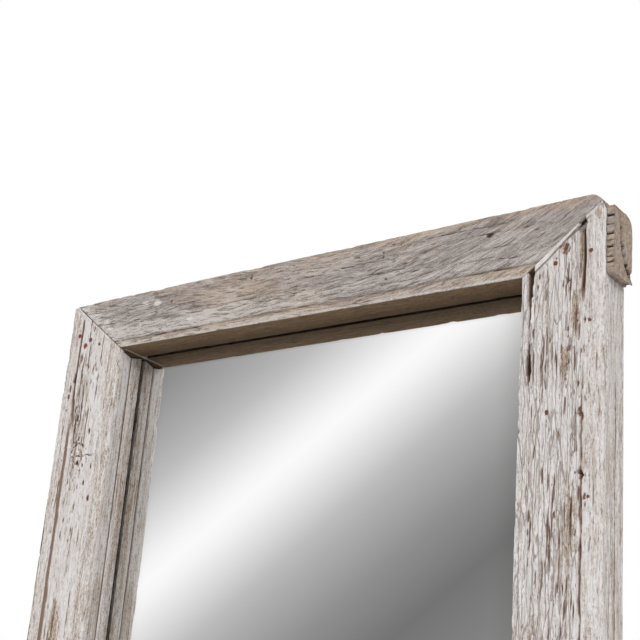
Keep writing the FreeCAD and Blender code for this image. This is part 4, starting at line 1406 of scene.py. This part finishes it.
def nail_places(node):
    """Middle and back end of each nail of a node, from its separate solids."""
    mesh = frame["nodes"][node].data
    solids = bmesh.new()
    solids.from_mesh(mesh)
    bmesh.ops.remove_doubles(solids, verts=solids.verts, dist=1e-6)
    left = set(solids.verts)
    places = []
    while left:
        start = left.pop()
        found, queue = [start], [start]
        while queue:
            for edge in queue.pop().link_edges:
                for vert in edge.verts:
                    if vert in left:
                        left.discard(vert)
                        found.append(vert)
                        queue.append(vert)
        spots = np.array([tuple(v.co) for v in found])
        middle = (spots.min(0) + spots.max(0)) / 2
        places.append((float(middle[0]), float(middle[2]), float(spots[:, 1].max())))
    solids.free()
    return sorted(places)


def screw(centre, seat, top, tip, head, shank):
    """Round-headed screw with a cross recess, along Y from its tip to its head."""
    turns, rings = 40, [0.0, 0.14, 0.26, 0.38, 0.5, 0.62, 0.74, 0.86, 0.95, 1.0]
    height = top - seat
    points = []
    for ring in rings:
        for turn in range(turns):
            angle = 2.0 * math.pi * turn / turns
            x, z = ring * math.cos(angle), ring * math.sin(angle)
            dome = math.sqrt(max(0.0, 1.0 - 0.82 * ring * ring)) - math.sqrt(0.18)
            y = seat + height * (0.35 + 0.65 * dome / (1.0 - math.sqrt(0.18)))
            arm = min(abs(x), abs(z)) < 0.13 and max(abs(x), abs(z)) < 0.56
            y -= 0.55 * height if arm else 0.0
            points.append((centre[0] + head * x, y, centre[1] + head * z))
    for radius, y in ((head, seat), (shank, seat), (shank, tip + 0.004), (0.3 * shank, tip)):
        for turn in range(turns):
            angle = 2.0 * math.pi * turn / turns
            points.append((centre[0] + radius * math.cos(angle), y, centre[1] + radius * math.sin(angle)))
    total = len(rings) + 4
    return np.array(points), bands(total, turns) + caps(total, turns)[1:]


class MIRROR_OT_turn_buttons(bpy.types.Operator):
    """Build the turn buttons and their screws"""
    bl_idname = "mirror.turn_buttons"
    bl_label = "Turn Buttons"

    def execute(self, context):
        look = context.scene.mirror_fittings
        brass = plain_metal("worn_brass", look.brass, look.brass_dull, 0.3)
        steel = plain_metal("zinc_steel", look.steel, look.steel_dull, 0.32)
        screws = []
        for joint in frame["joints"]:
            node = joint["child"]
            if not node.startswith("turn_button"):
                continue
            pivot = Vector(joint["pos_m"])
            piece = self.button(node, pivot, brass)
            settle(piece, node, node)
            low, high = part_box("button_screws")
            seat, head, shank = high.y - 0.0015, 0.0035, 0.0016
            screws.append(screw((pivot.x, pivot.z), seat, high.y, low.y, head, shank))
        points, faces = gathered(screws)
        piece = add_mesh("button_screw_steel", points, faces, steel)
        settle(piece, "button_screws")
        return {"FINISHED"}

    def button(self, node, pivot, finish):
        """Stamped plate with round ends, softened edges and a dished hole."""
        low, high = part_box(node)
        middle = (low + high) / 2
        way = Vector((middle.x - pivot.x, 0.0, middle.z - pivot.z)).normalized()
        side = Vector((-way.z, 0.0, way.x))
        half, bore, tail, tip = 0.006, 0.00177, -0.001, 0.021
        turns = 48
        edge = [(0.0004, 0.0), (0.0001, 0.0003), (0.0, 0.0008), (0.0001, 0.0013), (0.0005, 0.0016)]
        hole = [(0.0034, 0.0016), (bore, 0.0013), (bore, 0.0002), (0.0022, 0.0)]
        loops = [(half - inset, up, False) for inset, up in edge]
        loops += [(radius, up, True) for radius, up in hole]
        points = []
        for reach, up, is_hole in loops:
            for turn in range(turns):
                angle = 2.0 * math.pi * turn / turns
                along, over = math.cos(angle), math.sin(angle)
                end = tip if along > 0.02 else tail
                base = 0.0 if is_hole else end
                flat = way * (base + reach * along) + side * (reach * over)
                points.append((pivot.x + flat.x, low.y + up, pivot.z + flat.z))
        return add_mesh(node + "_plate", points, bands(len(loops), turns, True), finish)


class MIRROR_OT_hangers(bpy.types.Operator):
    """Build the strap hangers, their rings and screws"""
    bl_idname = "mirror.hangers"
    bl_label = "Hangers"

    def execute(self, context):
        steel = bpy.data.materials["zinc_steel"]
        screws = []
        for joint in frame["joints"]:
            node = joint["child"]
            if not node.startswith("hanger_ring"):
                continue
            side = node.rsplit("_", 1)[1]
            pivot = Vector(joint["pos_m"])
            strap = self.strap("hanger_strap_" + side, pivot, steel)
            settle(strap, "hanger_strap_" + side)
            ring = self.ring(node, pivot, steel)
            settle(ring, node, node)
            low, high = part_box("hanger_screws")
            seat, head, shank = high.y - 0.0022, 0.0036, 0.0018
            for z in (low.z + head, high.z - head):
                screws.append(screw((pivot.x, z), seat, high.y, low.y, head, shank))
        points, faces = gathered(screws)
        piece = add_mesh("hanger_screw_steel", points, faces, steel)
        settle(piece, "hanger_screws")
        return {"FINISHED"}

    def strap(self, node, pivot, finish):
        """Steel strip that lies in the pocket and rolls round the ring's bar."""
        low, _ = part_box(node)
        thick, eye, steps, turns = 0.002, 0.0044, 14, 26
        rise = (pivot.z - 0.006 - low.z) / steps
        path = [(low.y + thick / 2, low.z + 0.0002 + part * rise) for part in range(steps + 1)]
        radius = eye - thick / 2
        for part in range(turns + 1):
            angle = math.pi + math.radians(325.0) * part / turns
            path.append((pivot.y + radius * math.cos(angle), pivot.z - radius * math.sin(angle)))
        path = np.array(path)
        along = np.gradient(path, axis=0)
        along /= np.linalg.norm(along, axis=1)[:, None]
        cross = np.stack([along[:, 1], -along[:, 0]], 1)
        points = []
        section = [
            (-1.0, -0.7), (-0.94, -1.0), (0.94, -1.0), (1.0, -0.7),
            (1.0, 0.7), (0.94, 1.0), (-0.94, 1.0), (-1.0, 0.7),
        ]
        for index, (y, z) in enumerate(path):
            neck = float(smooth(pivot.z - 0.0085, pivot.z - 0.0062, z)) if index < 16 else 1.0
            tail = 1.0 - 0.35 * float(fall(0.0, 0.004, z - low.z)) if index < 8 else 1.0
            half = (0.008 - 0.002 * neck) * tail
            for across, over in section:
                lift = cross[index] * over * thick / 2 * 0.985
                points.append((pivot.x + across * half, y + lift[0], z + lift[1]))
        faces = bands(len(path), len(section)) + caps(len(path), len(section))
        return add_mesh(node + "_strip", points, faces, finish, None, False)

    def ring(self, node, pivot, finish):
        """D-shaped wire ring with its straight bar in the strap's eye."""
        half, bend, leg, wire = 0.010, 0.004, 0.009, 0.00225
        path = []
        for part in range(9):
            path.append((-half + bend + (2 * half - 2 * bend) * part / 8, 0.0))
        for part in range(1, 8):
            angle = math.pi / 2 * part / 8
            path.append((half - bend + bend * math.sin(angle), bend - bend * math.cos(angle)))
        for part in range(5):
            path.append((half, bend + (leg - bend) * part / 4))
        for part in range(1, 32):
            angle = math.pi * part / 32
            path.append((half * math.cos(angle), leg + half * math.sin(angle)))
        for part in range(5):
            path.append((-half, leg - (leg - bend) * part / 4))
        for part in range(1, 8):
            angle = math.pi / 2 * (8 - part) / 8
            path.append((-half + bend - bend * math.sin(angle), bend - bend * math.cos(angle)))
        path = np.array(path)
        ahead = np.roll(path, -1, 0) - np.roll(path, 1, 0)
        ahead /= np.linalg.norm(ahead, axis=1)[:, None]
        normal = np.stack([ahead[:, 1], -ahead[:, 0]], 1)
        turns = 16
        points = []
        for index, (x, down) in enumerate(path):
            for turn in range(turns):
                angle = 2.0 * math.pi * turn / turns
                flat = normal[index] * wire * math.cos(angle)
                over = wire * math.sin(angle)
                points.append((pivot.x + x + flat[0], pivot.y + over, pivot.z - down - flat[1]))
        return add_mesh(node + "_wire", points, bands(len(path), turns, True), finish)


class MIRROR_OT_pads(bpy.types.Operator):
    """Build the rubber pads that touch the wall"""
    bl_idname = "mirror.pads"
    bl_label = "Wall Pads"

    def execute(self, context):
        finish = bpy.data.materials["black_rubber"]
        low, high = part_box("wall_pads")
        radius = 0.010
        places = [(0.0, 0.0), (low.x + radius, low.z + radius), (high.x - radius, low.z + radius)]
        profile = [
            (0.92, 0.0), (1.0, 0.0004), (1.0, 0.0012), (0.97, 0.0026), (0.9, 0.0036),
            (0.8, 0.004), (0.55, 0.004), (0.48, 0.0034), (0.1, 0.0032),
        ]
        turned = [(share * radius, low.y + height) for share, height in profile]
        parts = [lathe(turned, (x, 0.0, z), (0, 1, 0), 40) for x, z in places]
        points, faces = gathered(parts)
        piece = add_mesh("wall_pad_rubber", points, faces, finish)
        settle(piece, "wall_pads")
        return {"FINISHED"}


# Stage
# Direction across the soft strip of light, and its level at distances from its middle
STRIP_ACROSS = (0.4548, -0.5682, -0.6859)
STRIP_LEVELS = [
    (0.0, 1.0), (0.01, 0.95), (0.05, 0.53), (0.065, 0.44),
    (0.1, 0.285), (0.14, 0.18), (0.3, 0.38), (0.6, 0.6),
]


class MIRROR_OT_stage(bpy.types.Operator):
    """Set up the floor, the light and the camera"""
    bl_idname = "mirror.stage"
    bl_label = "Stage"

    def execute(self, context):
        scene = context.scene
        look = scene.mirror_stage
        scene.view_settings.view_transform = "Standard"
        self.floor(context, look)
        self.world(scene, look)
        self.lamp(context, look)
        self.camera(context, look)
        return {"FINISHED"}

    def floor(self, context, look):
        """Wide floor just below the mirror."""
        size, level = 12.0, (TOP - LENGTH) * MM - 0.002
        mesh = bpy.data.meshes.new("floor")
        corners = [(-size, -size, level), (size, -size, level), (size, size, level), (-size, size, level)]
        mesh.from_pydata(corners, [], [(0, 1, 2, 3)])
        mesh.materials.append(self.floor_finish(look))
        floor = bpy.data.objects.new("floor", mesh)
        context.scene.collection.objects.link(floor)

    def floor_finish(self, look):
        """Pale floor that keeps the shadow and fades to the white behind it."""
        finish = new_finish("pale_floor")
        spot = finish.node("ShaderNodeTexCoord", {}, {}, "Object")
        away = finish.node("ShaderNodeVectorMath", {"operation": "LENGTH"}, {0: spot}, "Value")
        path = finish.node("ShaderNodeLightPath", {}, {}, "Is Camera Ray")
        seen = path.math("MAXIMUM", path, path.output("Is Transmission Ray"))
        rough = 0.7 + 0.2 * finish.cloud(spot, 3.0)
        sockets = {"Base Color": (*look.floor, 1.0), "Roughness": rough}
        pale = finish.node("ShaderNodeBsdfPrincipled", {}, sockets)
        white = finish.node("ShaderNodeEmission", {}, {"Color": (1.0, 1.0, 1.0, 1.0), "Strength": 1.0})
        faded = seen * finish.ease(away, 1.5, 4.5)
        mixed = finish.node("ShaderNodeMixShader", {}, {0: faded, 1: pale, 2: white})
        finish.node("ShaderNodeOutputMaterial", {}, {"Surface": mixed})
        return finish.owner

    def world(self, scene, look):
        """White behind the object, a soft strip of light for reflections, and soft light from above."""
        world = bpy.data.worlds.new("studio")
        scene.world = world
        finish = Finish(world)
        way = finish.node("ShaderNodeTexCoord", {}, {}, "Generated")
        z = finish.node("ShaderNodeSeparateXYZ", {}, {0: way}, "Z")
        sky = look.ground + (look.sky - look.ground) * finish.ease(z, -0.35, 0.45)
        sockets = {0: way, 1: STRIP_ACROSS}
        strip = finish.node("ShaderNodeVectorMath", {"operation": "DOT_PRODUCT"}, sockets, "Value")
        away = finish.node("ShaderNodeMath", {"operation": "ABSOLUTE"}, {0: strip})
        gloss = ramp(finish, away, *[(place, (level, level, level)) for place, level in STRIP_LEVELS])
        path = finish.node("ShaderNodeLightPath", {}, {}, "Is Camera Ray")
        clear = path.math("MAXIMUM", path, path.output("Is Transmission Ray"))
        shine = path.output("Is Glossy Ray")
        strength = sky * (1.0 - shine) + gloss * shine
        strength = strength * (1.0 - clear) + clear
        sockets = {"Color": (1.0, 1.0, 1.0, 1.0), "Strength": strength}
        background = finish.node("ShaderNodeBackground", {}, sockets)
        finish.node("ShaderNodeOutputWorld", {}, {"Surface": background})

    def lamp(self, context, look):
        """Wide soft light from the front, to the right and above."""
        light = bpy.data.lights.new("key", "SUN")
        light.energy = look.key
        light.angle = look.key_width
        lamp = bpy.data.objects.new("key", light)
        aim = Vector((-2.6, 4.2, -2.95))
        lamp.matrix_world = aim.to_track_quat("-Z", "Y").to_matrix().to_4x4()
        lamp.visible_glossy = False
        context.scene.collection.objects.link(lamp)

    def camera(self, context, look):
        """Camera below the head, looking up from the right."""
        data = bpy.data.cameras.new("camera")
        data.sensor_fit = "HORIZONTAL"
        data.sensor_width = 36.0
        data.lens = look.lens
        data.clip_start = 0.05
        camera = bpy.data.objects.new("camera", data)
        right = Vector((0.81505, 0.5741, 0.07812))
        up = Vector((0.13764, -0.32284, 0.93639))
        back = Vector((0.5628, -0.75246, -0.34215))
        turn = Matrix((right, up, back)).transposed()
        camera.matrix_world = Matrix.Translation(Vector(look.camera)) @ turn.to_4x4()
        context.scene.collection.objects.link(camera)
        context.scene.camera = camera


class MIRROR_PT_panel(bpy.types.Panel):
    """Steps that dress the mirror"""
    bl_idname = "MIRROR_PT_panel"
    bl_label = "Wall Mirror"
    bl_space_type = "VIEW_3D"
    bl_region_type = "UI"
    bl_category = "Mirror"

    def draw(self, context):
        for operator in OPERATORS:
            self.layout.operator(operator.bl_idname)
        for group in (context.scene.mirror_timber, context.scene.mirror_fittings, context.scene.mirror_stage):
            box = self.layout.box()
            for name in group.__annotations__:
                box.prop(group, name)


OPERATORS = (
    MIRROR_OT_stage, MIRROR_OT_left_stile, MIRROR_OT_right_stile, MIRROR_OT_head_rail, MIRROR_OT_bottom_rail,
    MIRROR_OT_glass, MIRROR_OT_nails, MIRROR_OT_turn_buttons, MIRROR_OT_hangers, MIRROR_OT_pads,
)
SETTINGS = {
    "mirror_timber": MirrorTimberSettings,
    "mirror_fittings": MirrorFittingSettings,
    "mirror_stage": MirrorStageSettings,
}


def register():
    for group in SETTINGS.values():
        bpy.utils.register_class(group)
    for operator in OPERATORS:
        bpy.utils.register_class(operator)
    bpy.utils.register_class(MIRROR_PT_panel)
    for name, group in SETTINGS.items():
        setattr(bpy.types.Scene, name, PointerProperty(type=group))


def unregister():
    for name in SETTINGS:
        delattr(bpy.types.Scene, name)
    bpy.utils.unregister_class(MIRROR_PT_panel)
    for operator in reversed(OPERATORS):
        bpy.utils.unregister_class(operator)
    for group in reversed(list(SETTINGS.values())):
        bpy.utils.unregister_class(group)


def main():
    register()
    bpy.ops.mirror.stage()
    bpy.ops.mirror.left_stile()
    bpy.ops.mirror.right_stile()
    bpy.ops.mirror.head_rail()
    bpy.ops.mirror.bottom_rail()
    bpy.ops.mirror.glass()
    bpy.ops.mirror.nails()
    bpy.ops.mirror.turn_buttons()
    bpy.ops.mirror.hangers()
    bpy.ops.mirror.pads()


if __name__ == "__main__":
    main()
